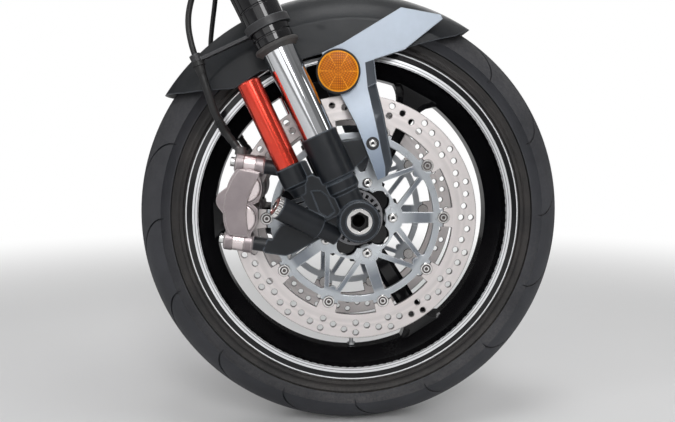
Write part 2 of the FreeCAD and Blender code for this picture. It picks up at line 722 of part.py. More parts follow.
def make_adjusters():
    pieces = []
    for name, side in SIDES:
        start, direction = adjuster_frame(side)
        end = [begin + d.adjuster_length * step for begin, step in zip(start, direction)]
        ring = rod("AdjusterRing", d.adjuster_radius - 1, d.adjuster_cap, end, direction)
        tip = [begin + (d.adjuster_length + d.adjuster_cap - 2) * step for begin, step in zip(start, direction)]
        recess = rod("AdjusterRecess", d.adjuster_radius - 3.5, d.adjuster_cap, tip, direction)
        screw = rod("AdjusterScrew", d.adjuster_radius - 9, 4, [begin + (d.adjuster_length + d.adjuster_cap - 3) * step
                    for begin, step in zip(start, direction)], direction)
        pieces.append(fuse("Adjuster", [cut_from("AdjusterCup", ring, [recess]), screw]))
    keep(fuse("AdjusterCaps", pieces), "damping_adjusters")


def make_caliper(name, side):
    """Radial caliper, drawn from the axle in its own tilted frame."""
    caliper = new_body("Caliper")
    lug_out = d.lug_half - d.disc_half + d.lug_radius
    half = lug_out + d.caliper_rim
    face = -d.lug_face
    top = d.lug_reach - 4
    pad(caliper, "XZ", -half, half, [[
        (face - 4.5, top - 4),
        (face - 4, top - 10),
        (face - 1, 4, -36),
        (face - 7, 0),
        (face - 1, -4),
        (face - 4, 10 - top, -36),
        (face - 4.5, 4 - top),
        (face - 31, -top),
        (face - 43, -17, -60),
        (face - 51, -9),
        (face - 51, 9, -14),
        (face - 43, 17),
        (face - 31, top, -60)]])
    for middle in (-d.piston_reach, d.piston_reach):
        pad(caliper, "XZ", -half - 3, half + 3, [circle(-d.piston_back, middle, d.piston_boss)])
    soften(caliper, 2.5, lambda edge: edge.BoundBox.YLength < 0.01 and abs(abs(edge.BoundBox.YMax) - half - 3) < 0.01)
    for middle in (-d.lug_reach, d.lug_reach):
        pad(caliper, "XZ", *span(side, lug_out - 2 * d.lug_radius, lug_out), [[
            (face, middle - d.lug_radius), (face, middle + d.lug_radius),
            (face - d.lug_depth, middle + d.lug_radius), (face - d.lug_depth, middle - d.lug_radius)]])
    end = d.lug_reach + d.lug_radius
    soften(caliper, d.lug_radius - 2.5,
           lambda edge: edge.BoundBox.XLength > d.lug_depth - 1 and abs(abs(edge.CenterOfMass.z) - end) < 0.01)
    # The outer face: a raised plate that laps over the piston bosses along an arc
    pad(caliper, "XZ", *span(side, half, half + d.caliper_plate), [[
        (face - 5, top - 5), (face - 30, top - 4), (face - 40, 17, 60), (face - 43, 9), (face - 43, -9),
        (face - 40, -17), (face - 30, 4 - top, 60), (face - 8, 5 - top), (face - 8, 11 - top), (face - 5, top - 10, -83)]])
    cut(caliper, "XZ", -d.caliper_slot, d.caliper_slot, [circle(0, 0, d.disc_radius + 4)])
    pocket = d.disc_thickness / 2 + d.pad_gap + d.pad_wall
    end = d.pad_half + 1
    cut(caliper, "XZ", -pocket, pocket, [[
        (face + 20, -end), (face + 20, end), (-d.disc_radius - 2, end), (-d.disc_radius - 2, -end)]])
    cut(caliper, "XZ", -pocket + 3, pocket - 3, [[
        (face - 30, 12), (face - 30, end - 4), (face - 60, end - 4), (face - 60, 12)]])
    cut(caliper, "XZ", -pocket + 3, pocket - 3, [[
        (face - 30, -12), (face - 30, 4 - end), (face - 60, 4 - end), (face - 60, -12)]])
    keep(on_disc(caliper, side), f"caliper_{name}")


def make_pads():
    pieces = []
    foot = d.bobbin_circle + d.bobbin_radius + 4
    for name, side in SIDES:
        for face in (-1, 1):
            block = new_body("BrakePad")
            low = d.disc_thickness / 2 + d.pad_gap
            pad(block, "XZ", *span(side * face, low, low + d.pad_wall), [[
                (-foot, -d.pad_half + 4), (-foot, d.pad_half - 4), (-foot - 6, d.pad_half),
                (-d.disc_radius - 1, d.pad_half), (-d.disc_radius - 1, -d.pad_half), (-foot - 6, -d.pad_half)]])
            pieces.append(on_disc(block, side))
    keep(fuse("BrakePads", pieces), "brake_pads")


def make_caliper_bolts():
    pieces = []
    for name, side in SIDES:
        for reach in (d.lug_reach, -d.lug_reach):
            x, z = tilted(-d.lug_face - d.lug_depth - 6, reach)
            pieces.append(rod("CaliperBolt", d.caliper_bolt, 6, from_axle(x, side * d.lug_half, z),
                              (cosine(d.caliper_tilt), 0, -sine(d.caliper_tilt))))
    keep(fuse("CaliperBolts", pieces), "caliper_bolts")


def make_axle():
    low, high = -d.leg_half - d.boss_out + 2, d.leg_half + d.boss_out
    step = -d.leg_half + d.boss_in
    base = low + d.hex_depth
    axle = new_body("Axle")
    revolve(axle, "YZ", "H", [[
        (base, d.axle_bore), (base, d.axle_head_radius),
        (step, d.axle_head_radius), (step, d.axle_radius), (high + 12, d.axle_radius), (high + 12, d.axle_bore)]])
    keep(on_axle(axle), "axle")

    head = new_body("AxleHead")
    corners = [around(d.hex_half / cosine(30), 30 + 60 * corner) for corner in range(6)]
    pad(head, "XZ", low, base, [circle(0, 0, d.axle_head_radius), corners])
    soften(head, 1, lambda edge: abs(edge.CenterOfMass.y - low) < 0.01 and edge.BoundBox.ZLength > d.hex_half * 2.5)
    keep(on_axle(head), "axle_head")

    nut = new_body("AxleNut")
    corners = [around(d.nut_radius, 60 * corner) for corner in range(6)]
    pad(nut, "XZ", high, high + d.nut_height, [corners, circle(0, 0, d.axle_radius + d.snug)])
    keep(on_axle(nut), "axle_nut")

    pieces = []
    for name, side in SIDES:
        inner, outer = d.hub_half + d.running_gap, d.leg_half - d.boss_in
        low, high = span(side, inner, outer)
        pieces.append(rod("Spacer", d.axle_head_radius, high - low, from_axle(0, low, 0), (0, 1, 0),
                          hole=d.axle_radius + d.snug))
    keep(fuse("Spacers", pieces), "wheel_spacers")


def make_tyre():
    tyre = new_body("Tyre")
    rise = d.wheel_radius - d.shoulder_radius
    crown = (d.tyre_half * d.tyre_half + rise * rise) / (2 * rise)
    bead = d.rim_half - 0.2
    seat, toe = d.bead_radius + 0.3, 12
    inner_half = d.tyre_half - d.tyre_wall
    half = [
        (bead + 2.2, d.flange_radius + 2),
        (bead, d.flange_radius - 4),
        (bead, seat),
        (bead - toe, seat),
        (bead - toe, d.flange_radius),
        (inner_half, d.shoulder_radius - 3),
        (inner_half * 0.55, d.wheel_radius - d.tyre_wall * 1.9),
    ]
    left = [(-h, v) for h, v in half]
    revolve(tyre, "YZ", "H", [[
        *left,
        (0, d.wheel_radius - d.tyre_wall),
        *half[::-1],
        (d.tyre_half, d.shoulder_radius, d.sidewall_arc),
        (0, d.wheel_radius, crown),
        (-d.tyre_half, d.shoulder_radius, crown),
        (left[0][0], left[0][1], d.sidewall_arc),
    ][1:]])
    keep(on_axle(tyre), "tyre")


def make_rim():
    """Cast wheel: barrel, hub with its disc seats, and three hollow-sided spokes."""
    rim = new_body("Rim")
    edge = d.rim_half + d.flange_width
    barrel = d.barrel_inner + d.rim_wall
    inner = d.bead_radius - d.rim_wall
    half = [
        (12, barrel),
        (d.rim_half - 14.5, d.bead_radius),
        (d.rim_half, d.bead_radius),
        (d.rim_half, d.flange_radius - 4),
        (d.rim_half + 1.7, d.flange_radius),
        (edge - 1.5, d.flange_radius),
        (edge - 2, d.flange_radius - 2.5),
        (edge - 2, inner + 10),
        (edge, inner + 10),
        (edge, inner),
        (d.rim_half - 14.5, inner),
        (10, d.barrel_inner),
    ]
    left = [(-h, v) for h, v in half]
    revolve(rim, "YZ", "H", [half + left[::-1]])
    bearing = d.bearing_radius + d.snug
    shoulder = d.hub_half - d.bearing_width
    flange = d.carrier_bolts + d.carrier_boss
    half = [
        (d.hub_half - 14, d.hub_radius),
        (d.disc_face - d.hub_flange_back, flange - 6),
        (d.disc_face - 7, flange),
        (d.disc_face, flange),
        (d.disc_face, d.carrier_hub - 9),
        (d.hub_half, d.carrier_hub - 11),
        (d.hub_half, bearing),
        (shoulder, bearing),
        (shoulder, bearing - 4),
    ]
    left = [(-h, v) for h, v in half]
    revolve(rim, "YZ", "H", [half + left[::-1]])
    scallop = cut(rim, "XZ", -d.disc_face, d.disc_face, [circle(*around(flange + 5, 36 + d.spoke_turn), 14)])
    repeat(rim, [scallop], 5)

    # A spoke section: distance from the axle, half width, half depth
    sections = []
    for out, wide, deep in (
            (d.hub_radius - 6, 19, d.spoke_depth + 9),
            (d.hub_radius + 36, d.spoke_half - 1, d.spoke_depth + 3),
            (d.barrel_inner - 50, d.spoke_half, d.spoke_depth - 2),
            (d.barrel_inner - 16, d.spoke_half + 7, d.spoke_depth),
            (d.barrel_inner + 1, d.spoke_half + 30, d.spoke_depth + 2)):
        bevel = 0.55
        sections.append((out, [
            (-wide, -deep * bevel), (-wide * 0.6, -deep), (wide * 0.6, -deep), (wide, -deep * bevel),
            (wide, deep * bevel), (wide * 0.6, deep), (-wide * 0.6, deep), (-wide, deep * bevel)]))
    spoke = loft(rim, "XY", sections)
    repeat(rim, [spoke], 3)
    keep(on_axle(rim, lean=360 - d.spoke_turn), "wheel_rim")

    pieces = []
    for name, side in SIDES:
        low, high = span(side, shoulder, d.hub_half)
        pieces.append(rod("WheelBearing", d.bearing_radius, high - low, from_axle(0, low, 0), (0, 1, 0),
                          hole=d.axle_radius + d.snug))
    keep(fuse("WheelBearings", pieces), "wheel_bearings")
    keep(rod("Valve", 4, 34, from_axle(0, 0, -d.barrel_inner + 1), (0, 0, 1)), "tyre_valve")


def sector(inner, outer, middle, half_angle):
    """Ring sector between two radii, as a loop."""
    first, last = middle - half_angle, middle + half_angle
    return [(*around(inner, first), -inner), around(outer, first), (*around(outer, last), outer),
            around(inner, last)]


def make_disc(name, side):
    half = d.disc_thickness / 2
    ring = new_body("BrakeDisc")
    pad(ring, "XZ", -half, half, [circle(0, 0, d.disc_radius), circle(0, 0, d.bobbin_circle + 0.5)])
    window = cut(ring, "XZ", -half, half, [sector(d.bobbin_circle - 8, d.disc_inner, 18, 12)])
    eye = cut(ring, "XZ", -half, half, [circle(d.bobbin_circle, 0, d.bobbin_radius + d.snug)])
    repeat(ring, [window, eye], 10)
    # A drilled hole: distance from the axle, degrees on from the first
    drilled = [circle(*around(out, turn), d.drill_radius) for out, turn in (
        (d.disc_radius - 21, 0), (d.disc_radius - 7.5, 0), (d.disc_radius - 16.5, 6), (d.disc_radius - 11.5, 12))]
    holes = cut(ring, "XZ", -half, half, drilled)
    repeat(ring, [holes], 20)
    keep(on_axle(ring, side * d.disc_half), f"brake_disc_{name}")

    half = d.carrier_thickness / 2
    carrier = new_body("DiscCarrier")
    low, high = span(-side, half, d.disc_half - d.disc_face)
    pad(carrier, "XZ", -half, half, [circle(0, 0, d.bobbin_circle - 0.5), circle(0, 0, d.carrier_hub)])
    step = cut(carrier, "XZ", -half, half, [sector(d.carrier_radius, d.disc_inner, 18, 12)])
    eye = cut(carrier, "XZ", -half, half, [circle(d.bobbin_circle, 0, d.bobbin_radius + d.snug)])
    repeat(carrier, [step, eye], 10)
    ring = d.carrier_radius - d.carrier_ring
    boss = d.carrier_bolts + d.carrier_boss
    link = d.carrier_bolts + 6
    above = [around(ring, 4), (*around(ring, 28), ring), (*around(ring - 3, 29.5), 3), around(boss + 1, 12),
             (*around(boss + 3, 7), -9)]
    below = [(h, -v) for h, v, *arc in above]
    below = [below[0], (*below[1], -ring), (*below[2], -3), below[3], (*below[4], 9)]
    between = [(*around(link, 21), 5), (*around(link, 51), link), (*around(link + 3, 54), 5),
               around(ring - 5, 39), (*around(ring - 5, 33), 5.6), around(link + 3, 18)]
    windows = cut(carrier, "XZ", -half, half, [above, below])
    gap = cut(carrier, "XZ", -half, half, [between])
    scallop = cut(carrier, "XZ", -half, half, [circle(*around(d.carrier_hub - 2, 36), 14)])
    repeat(carrier, [windows, gap, scallop], 5)
    lug = pad(carrier, "XZ", low, high, [circle(d.carrier_bolts, 0, d.carrier_boss)])
    repeat(carrier, [lug], 5)
    keep(on_axle(carrier, side * d.disc_half), f"disc_carrier_{name}")


def make_disc_hardware():
    bobbins, bolts = [], []
    face = d.disc_half + d.carrier_thickness / 2
    for name, side in SIDES:
        for number in range(10):
            x, z = around(d.bobbin_circle, 36 * number)
            low, high = span(side, d.disc_half - d.bobbin_half, d.disc_half + d.bobbin_half)
            bobbins.append(rod("Bobbin", d.bobbin_radius, high - low, from_axle(x, low, z), (0, 1, 0)))
        for number in range(5):
            x, z = around(d.carrier_bolts, 72 * number)
            low, high = span(side, face, face + 4)
            bolts.append(rod("CarrierBolt", d.carrier_bolt, high - low, from_axle(x, low, z), (0, 1, 0)))
    keep(fuse("Bobbins", bobbins), "disc_bobbins")
    keep(fuse("CarrierBolts", bolts), "carrier_bolts")
    ring = new_body("ToneRing")
    low, high = span(-1, d.disc_face, d.disc_face + 3)
    pad(ring, "XZ", low, high, [circle(0, 0, d.carrier_hub - 3), circle(0, 0, d.carrier_hub - 13)])
    slot = cut(ring, "XZ", low, high, [sector(d.carrier_hub - 11, d.carrier_hub - 6, 0, 4)])
    repeat(ring, [slot], 24)
    keep(on_axle(ring), "tone_ring")


def make_mudguard():
    shell = new_body("MudguardShell")
    shoulder, wall, half = d.shoulder_radius, d.guard_wall, d.guard_half
    outer_rise = d.guard_inner + wall - shoulder
    outer = (half * half + outer_rise * outer_rise) / (2 * outer_rise)
    inner_half, inner_rise = half - wall, d.guard_inner - shoulder
    inner = (inner_half * inner_half + inner_rise * inner_rise) / (2 * inner_rise)
    hem = d.flange_radius - 9
    revolve(shell, "YZ", "H", [[
        (half, hem),
        (half, shoulder),
        (0, d.guard_inner + wall, outer),
        (-half, shoulder, outer),
        (-half, hem),
        (-half + wall, hem),
        (-half + wall, shoulder),
        (0, d.guard_inner, -inner),
        (half - wall, shoulder, -inner),
        (half - wall, hem),
    ]], angle=124)
    # The lower edge: share of the wheel's radius, degrees from straight ahead
    edge = [around(d.wheel_radius * share, angle) for share, angle in (
        (1.04, 147.5), (0.94, 144), (0.78, 133), (0.77, 123), (0.71, 95), (0.73, 82), (0.93, 61), (1.035, 57.5))]
    far = d.wheel_radius * 1.4
    cut(shell, "XZ", -half - 1, half + 1, [[
        *edge, (far * 0.55, far), (far, far), (far, 0), (-far, 0), (-far, edge[0][1])]])
    keep(on_axle(shell), "mudguard_shell")

    for name, side in SIDES:
        arm = new_body("MudguardArm")
        inner = d.guard_half - d.leg_half
        outer = inner + d.arm_wall
        foot = -4
        # A section of the stay: up the leg, rear edge, facet, front edge, inner face, outer face
        sections = []
        for up, rear, facet, front, inside, outside in (
                (36, 45, 56, 60, foot - 3, foot + 1),
                (48, 46, 61, 73, foot - 3, foot + 2),
                (112, 50, 75, 89, foot - 3, foot + 2),
                (152, 50, 86, 100, inner, outer)):
            loop = [(rear, side * inside), (front, side * inside), (facet, side * outside), (rear, side * outside)]
            sections.append((up, loop))
        loft(arm, "XY", sections, ruled=True)
        pad(arm, "XZ", *span(side, inner, outer), [[
            (50, 151), (50, 216), (80, 216), (169, 226), (213, 196), (213, 190), (151, 175), (109, 180), (99.5, 151)]])
        keep(on_leg(arm, side), f"mudguard_arm_{name}")


def make_reflectors():
    pieces, bolts = [], []
    for name, side in SIDES:
        face = d.guard_half + d.arm_wall
        low, high = span(side, face, face + d.reflector_depth)
        x, y, z = leg_place(side, d.guard_lug_ahead, face, d.reflector_up)
        pieces.append(rod("Reflector", d.reflector_radius, high - low, (x, low, z), (0, 1, 0)))
        face = d.leg_half - 2
        low, high = span(side, face, face + 3)
        x, y, z = leg_place(side, d.guard_lug_ahead, face, d.guard_lug_up)
        bolts.append(rod("MudguardBolt", 5.5, high - low, (x, low, z), (0, 1, 0)))
    keep(fuse("Reflectors", pieces), "reflectors")
    keep(fuse("MudguardBolts", bolts), "mudguard_bolts")


def tube_along(name, points, radius):
    """Straight runs joined by tangent arcs, each arc as large as its two runs allow."""
    corners = [FreeCAD.Vector(*[float(part) for part in point]) for point in points]
    edges, start = [], corners[0]
    for before, corner, after in zip(corners, corners[1:], corners[2:]):
        to_before, to_after = (before - corner), (after - corner)
        reach = 0.45 * min(to_before.Length, to_after.Length)
        turn = pi - to_before.getAngle(to_after)
        bend = reach / tan(turn / 2)
        begin = corner + to_before.normalize() * reach
        end = corner + to_after.normalize() * reach
        inward = (to_before + to_after).normalize()
        middle = corner + inward * (bend / cos(turn / 2) - bend)
        edges += [Part.LineSegment(start, begin).toShape(), Part.Arc(begin, middle, end).toShape()]
        start = end
    edges.append(Part.LineSegment(start, corners[-1]).toShape())
    route = Part.Wire(edges)
    along = (corners[1] - corners[0]).normalize()
    face = Part.Face(Part.Wire(Part.makeCircle(float(radius), corners[0], along)))
    tube = doc.addObject("Part::Feature", name)
    tube.Shape = route.makePipe(face)
    expected = face.Area * route.Length
    if abs(tube.Shape.Volume - expected) > 0.01 * expected:
        raise RuntimeError(f"{name} has volume {tube.Shape.Volume:.0f}, not {expected:.0f}")
    return tube


# Brake hose below and at its guide: ahead of the leg axis, from the middle plane, up the leg from the axle
LOWER_HOSE = [(-106, 97, 173), (-107, 103, 200), (-103, 106, 228), (-99, 106, 256), (-97, 105, 286)]
# The rest of it: ahead, from the middle plane, share of the way up to the union
UPPER_HOSE = [(-88, 101, 0.18), (-68, 90, 0.34), (-46, 70, 0.49), (-26, 48, 0.65), (-12, 30, 0.79), (-6, 20, 0.92)]


def make_hoses():
    eyes, guides = [], []
    union_low = d.axle_drop + yoke_base - d.union_height
    start = 286
    route = LOWER_HOSE + [(ahead, out, start + share * (union_low - start)) for ahead, out, share in UPPER_HOSE]
    eye_up = d.lug_reach + d.lug_radius + d.banjo_height / 2
    for name, side in SIDES:
        x, z = tilted(-d.banjo_back, eye_up)
        eye = from_axle(x, side * (d.lug_half - 1), z)
        path = [leg_place(side, *row) for row in route]
        last = leg_place(side, *UPPER_HOSE[-1][:2], union_low)
        neck_end, first = ([a + share * (b - a) for a, b in zip(eye, path[0])] for share in (0.29, 0.3))
        keep(tube_along(f"BrakeHose{name.title()}", [first, *path, last], d.hose_radius), f"brake_hose_{name}")
        up = (sine(d.caliper_tilt), 0, cosine(d.caliper_tilt))
        eye_base = [middle - d.banjo_height / 2 * step for middle, step in zip(eye, up)]
        away = [float(b - a) for a, b in zip(eye, neck_end)]
        neck = rod("BanjoNeck", d.hose_radius + 1, sqrt(sum(step * step for step in away)), eye, away)
        head = [middle + d.banjo_height / 2 * step for middle, step in zip(eye, up)]
        eyes.append(fuse("Banjo", [rod("BanjoEye", d.banjo_radius, d.banjo_height, eye_base, up), neck,
                                   rod("BanjoBolt", d.banjo_radius - 2.5, 3, head, up)]))

        guide = new_body("HoseGuide")
        low = d.guide_up
        high = low + d.guide_height
        back = -d.guide_back
        pad(guide, "XY", low, high, [circle(0, 0, d.tube_mouth + 4)])
        pad(guide, "XY", low, low + 4, [[(-20, -7), (-20, 7), (back, 5), (back, -5)]])
        pad(guide, "XY", low, high, [circle(back, side * 0.5, d.hose_radius + 3.5)])
        cut(guide, "XY", low - 1, high + 1, [circle(0, 0, d.tube_mouth + d.snug)])
        cut(guide, "XY", low - 1, high + 1, [circle(back, side * 0.5, d.hose_radius + 0.7)])
        guides.append(on_leg(guide, side))
    keep(fuse("Banjos", eyes), "hose_banjos")
    keep(fuse("HoseGuides", guides), "hose_guides")
    union = new_body("HoseUnion")
    pad(union, "XY", yoke_base - d.union_height, yoke_base, [[
        (d.fork_offset - 15, -24), (d.fork_offset + 5, -24), (d.fork_offset + 5, 24), (d.fork_offset - 15, 24)]])
    keep(on_stem(union), "hose_union")


clamp_heights = (yoke_base + 9, yoke_top - 9)
make_stem()
make_yoke()
for name, side in SIDES:
    make_outer_tube(name, side)
    make_stanchion(name, side)
    make_foot(name, side)
    make_chamber(name, side)
    make_caliper(name, side)
make_seals()
make_adjusters()
make_pads()
make_caliper_bolts()
make_axle()
make_tyre()
make_rim()
for name, side in SIDES:
    make_disc(name, side)
make_disc_hardware()
make_mudguard()
make_reflectors()
make_hoses()

doc.recompute()
for item in doc.Objects:
    if "Invalid" in item.State or "Error" in item.State:
        owner = item.getParentGeoFeatureGroup()
        raise RuntimeError(f"{item.Name} of {owner.Name if owner else 'no body'} failed: {item.State}")
for part in subparts:
    if part.Shape.isNull() or not part.Shape.isValid():
        raise RuntimeError(f"{part.Label} has no valid shape")
os.makedirs("parts", exist_ok=True)
for part in subparts:
    part.Shape.exportStep(f"parts/{part.Label}.step")
print(len(subparts), "sub-parts written")
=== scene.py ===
import json
from math import asin, atan2, cos, hypot, pi, radians, sin, sqrt, tau

import bmesh
import bpy
from mathutils import Matrix, Vector


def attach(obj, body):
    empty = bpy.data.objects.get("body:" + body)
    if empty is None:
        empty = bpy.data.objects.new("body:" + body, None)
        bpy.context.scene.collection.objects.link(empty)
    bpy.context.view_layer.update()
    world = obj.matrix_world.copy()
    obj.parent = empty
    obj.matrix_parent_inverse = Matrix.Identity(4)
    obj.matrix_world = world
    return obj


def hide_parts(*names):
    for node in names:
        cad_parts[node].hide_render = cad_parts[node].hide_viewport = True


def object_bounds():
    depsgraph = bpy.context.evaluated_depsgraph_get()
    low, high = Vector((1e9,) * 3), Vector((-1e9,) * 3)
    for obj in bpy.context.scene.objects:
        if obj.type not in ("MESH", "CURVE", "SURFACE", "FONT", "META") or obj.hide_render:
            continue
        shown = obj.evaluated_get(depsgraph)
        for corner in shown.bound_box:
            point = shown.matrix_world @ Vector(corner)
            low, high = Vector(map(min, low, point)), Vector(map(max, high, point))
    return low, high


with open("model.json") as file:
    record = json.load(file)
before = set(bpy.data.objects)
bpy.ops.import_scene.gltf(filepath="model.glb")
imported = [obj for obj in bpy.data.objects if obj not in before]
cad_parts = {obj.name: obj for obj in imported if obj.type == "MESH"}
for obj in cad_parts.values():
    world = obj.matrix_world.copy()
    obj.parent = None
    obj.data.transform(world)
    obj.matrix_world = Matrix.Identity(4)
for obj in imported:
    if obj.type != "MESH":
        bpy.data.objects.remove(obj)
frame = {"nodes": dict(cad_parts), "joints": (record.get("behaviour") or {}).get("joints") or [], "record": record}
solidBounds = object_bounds()
mm = 0.001
axle = Vector(frame["joints"][0]["pos_m"])      # middle of the wheel
legLean = radians(25)                           # the legs lean back
caliperTurn = radians(9)                        # the calipers are turned about the axle
discHalf = 70                                   # disc from the middle plane
reflectorSpot = (59, 185)                       # ahead of the leg axis and up it
facetTop = 151                                  # up the leg, where the painted facet of the stay ends
sides =(("right", -1), ("left", 1))
nodeBody = {node: body for body, nodes in frame["record"]["behaviour"]["bodies"].items() for node in nodes}
print("frame loaded:", len(frame["nodes"]), "nodes")


# Places, in millimetres from the axle

def aimed(x, y, z, direction):                  # a place whose own Z lies along the direction
    turn = Vector(direction).to_track_quat("Z", "Y").to_matrix().to_4x4()
    return Matrix.Translation(axle + Vector((x, y, z)) * mm) @ turn @ Matrix.Scale(mm, 4)


def onLeg(ahead, up):                           # ahead of the leg axis and up it, to x and z
    return ahead * cos(legLean) - up * sin(legLean), ahead * sin(legLean) + up * cos(legLean)


def onCaliper(ahead, up):                       # the caliper's own axes, to x and z
    return (ahead * cos(caliperTurn) + up * sin(caliperTurn),
            up * cos(caliperTurn) - ahead * sin(caliperTurn))


def fromAxle(point):                            # a place in the scene, back to millimetres
    return (point - axle) / mm


def upTheLeg(point):
    place = fromAxle(point)
    return place.z * cos(legLean) - place.x * sin(legLean)


def inCaliper(point):                           # ahead of the axle, out from the middle plane, up
    place = fromAxle(point)
    return (place.x * cos(caliperTurn) - place.z * sin(caliperTurn), abs(place.y),
            place.z * cos(caliperTurn) + place.x * sin(caliperTurn))


# Small helpers for shader nodes

def addNode(tree, kind, inputs=None, **settings):
    made = tree.nodes.new(kind)
    for name, value in settings.items():
        setattr(made, name, value)
    for socket, value in (inputs or {}).items():
        if isinstance(value, bpy.types.NodeSocket):
            tree.links.new(value, made.inputs[socket])
        else:
            made.inputs[socket].default_value = value
    return made


def maths(tree, operation, first, second=0.0):
    return addNode(tree, "ShaderNodeMath", {0: first, 1: second}, operation=operation).outputs[0]


def times(tree, first, second):
    return maths(tree, "MULTIPLY", first, second)


def rootOfSquares(tree, first, second):
    return maths(tree, "SQRT", maths(tree, "ADD", times(tree, first, first), times(tree, second, second)))


def blend(tree, share, first, second):          # each colour is a socket or red, green and blue
    ends = [value if isinstance(value, bpy.types.NodeSocket) else (*value, 1) for value in (first, second)]
    return addNode(tree, "ShaderNodeMix", {0: share, 6: ends[0], 7: ends[1]}, data_type="RGBA").outputs[2]


def stretch(tree, value, low, high, toLow=0.0, toHigh=1.0, how="LINEAR"):
    return addNode(tree, "ShaderNodeMapRange", {0: value, 1: low, 2: high, 3: toLow, 4: toHigh},
                   interpolation_type=how).outputs[0]


def noise(tree, place, scale, detail, roughness=0.5):
    return addNode(tree, "ShaderNodeTexNoise", {"Vector": place, "Scale": scale, "Detail": detail,
                                                "Roughness": roughness}).outputs["Fac"]


def greyRamp(tree, value, stops, how="LINEAR"):   # stops: place from 0 to 1, and grey level
    made = addNode(tree, "ShaderNodeValToRGB", {0: value})
    ramp = made.color_ramp
    ramp.interpolation = how
    while len(ramp.elements) < len(stops):
        ramp.elements.new(0.5)
    for element, (place, level) in zip(ramp.elements, stops):
        element.position = place
        element.color = (level, level, level, 1)
    return made.outputs["Color"]


def firstChannel(tree, colour):
    return addNode(tree, "ShaderNodeSeparateColor", {0: colour}).outputs[0]


def partsFrom(tree, middle):                    # x, y and z of the Object coordinates from a middle
    place = addNode(tree, "ShaderNodeTexCoord").outputs["Object"]
    centred = addNode(tree, "ShaderNodeVectorMath", {0: place, 1: tuple(middle)}, operation="SUBTRACT")
    parts = addNode(tree, "ShaderNodeSeparateXYZ", {0: centred.outputs[0]})
    return parts.outputs["X"], parts.outputs["Y"], parts.outputs["Z"]


def newGroup(name, inputs, outputs):
    group = bpy.data.node_groups.new(name, "ShaderNodeTree")
    for socket, value in inputs.items():
        made = group.interface.new_socket(socket, in_out="INPUT", socket_type="NodeSocketFloat")
        made.default_value = value
    for socket in outputs:
        group.interface.new_socket(socket, in_out="OUTPUT", socket_type="NodeSocketFloat")
    return group, group.nodes.new("NodeGroupInput"), group.nodes.new("NodeGroupOutput")


def useGroup(tree, group, **inputs):
    made = tree.nodes.new("ShaderNodeGroup")
    made.node_tree = group
    for name, value in inputs.items():
        made.inputs[name].default_value = value
    return made.outputs


def feed(tree, node, **values):                 # links values to the sockets of those names
    for socket, value in values.items():
        tree.links.new(value, node.inputs[socket.replace("_", " ")])


def buildSurfaceGroup():
    # Colour drift, settled dust, fine scratches and the grain of a surface, all on Object coordinates
    group, given, put = newGroup("surfaceVariation", {"Scale": 20.0, "Grain": 900.0},
                                 ("Mottle", "Dust", "Scratch", "Grain"))
    place = addNode(group, "ShaderNodeTexCoord").outputs["Object"]
    drift = noise(group, place, given.outputs["Scale"], 5.0, 0.62)
    fine = noise(group, place, 260.0, 3.0, 0.7)
    facing = addNode(group, "ShaderNodeNewGeometry").outputs["Normal"]
    up = addNode(group, "ShaderNodeSeparateXYZ", {0: facing}).outputs["Z"]
    settled = times(group, stretch(group, up, -0.1, 0.95), stretch(group, fine, 0.3, 0.75))
    streaks = addNode(group, "ShaderNodeMapping", {"Vector": place, "Rotation": (0.5, 0.9, 0.3),
                                                   "Scale": (30, 900, 60)}).outputs[0]
    feed(group, put, Mottle=stretch(group, drift, 0.34, 0.66),
         Dust=times(group, settled, stretch(group, drift, 0.3, 0.7, 0.35, 1.0)),
         Scratch=stretch(group, noise(group, streaks, 1.0, 2.0), 0.66, 0.72),
         Grain=noise(group, place, given.outputs["Grain"], 2.0, 0.55))
    return group


def buildTurnedGroup():
    # Fine rings about the wheel's axle, as turning or grinding leaves them, and the distance from the axle
    group, given, put = newGroup("turnedRings", {"Rings": 900.0, "Sweep": 3.0}, ("Line", "Band", "Distance"))
    x, y, z = partsFrom(group, axle)
    distance = rootOfSquares(group, x, z)
    swept = addNode(group, "ShaderNodeCombineXYZ", {
        0: times(group, distance, given.outputs["Rings"]),
        1: times(group, maths(group, "ARCTAN2", z, x), given.outputs["Sweep"]), 2: y}).outputs[0]
    wide = addNode(group, "ShaderNodeCombineXYZ", {0: times(group, distance, 160.0)}).outputs[0]
    feed(group, put, Line=noise(group, swept, 1.0, 3.0, 0.7), Distance=distance,
         Band=stretch(group, noise(group, wide, 1.0, 1.0), 0.35, 0.65))
    return group


def buildEdgeGroup():
    # Where the surface turns a corner within the radius, and the normal rounded there
    group, given, put = newGroup("roundedCorners", {"Radius": 0.001}, ("Edge",))
    group.interface.new_socket("Normal", in_out="OUTPUT", socket_type="NodeSocketVector")
    rounded = addNode(group, "ShaderNodeBevel", {"Radius": given.outputs["Radius"]}, samples=4).outputs[0]
    flat = addNode(group, "ShaderNodeNewGeometry").outputs["Normal"]
    same = addNode(group, "ShaderNodeVectorMath", {0: rounded, 1: flat}, operation="DOT_PRODUCT")
    feed(group, put, Edge=stretch(group, same.outputs["Value"], 0.993, 0.94), Normal=rounded)
    return group


surfaceGroup = buildSurfaceGroup()
turnedGroup = buildTurnedGroup()
edgeGroup = buildEdgeGroup()

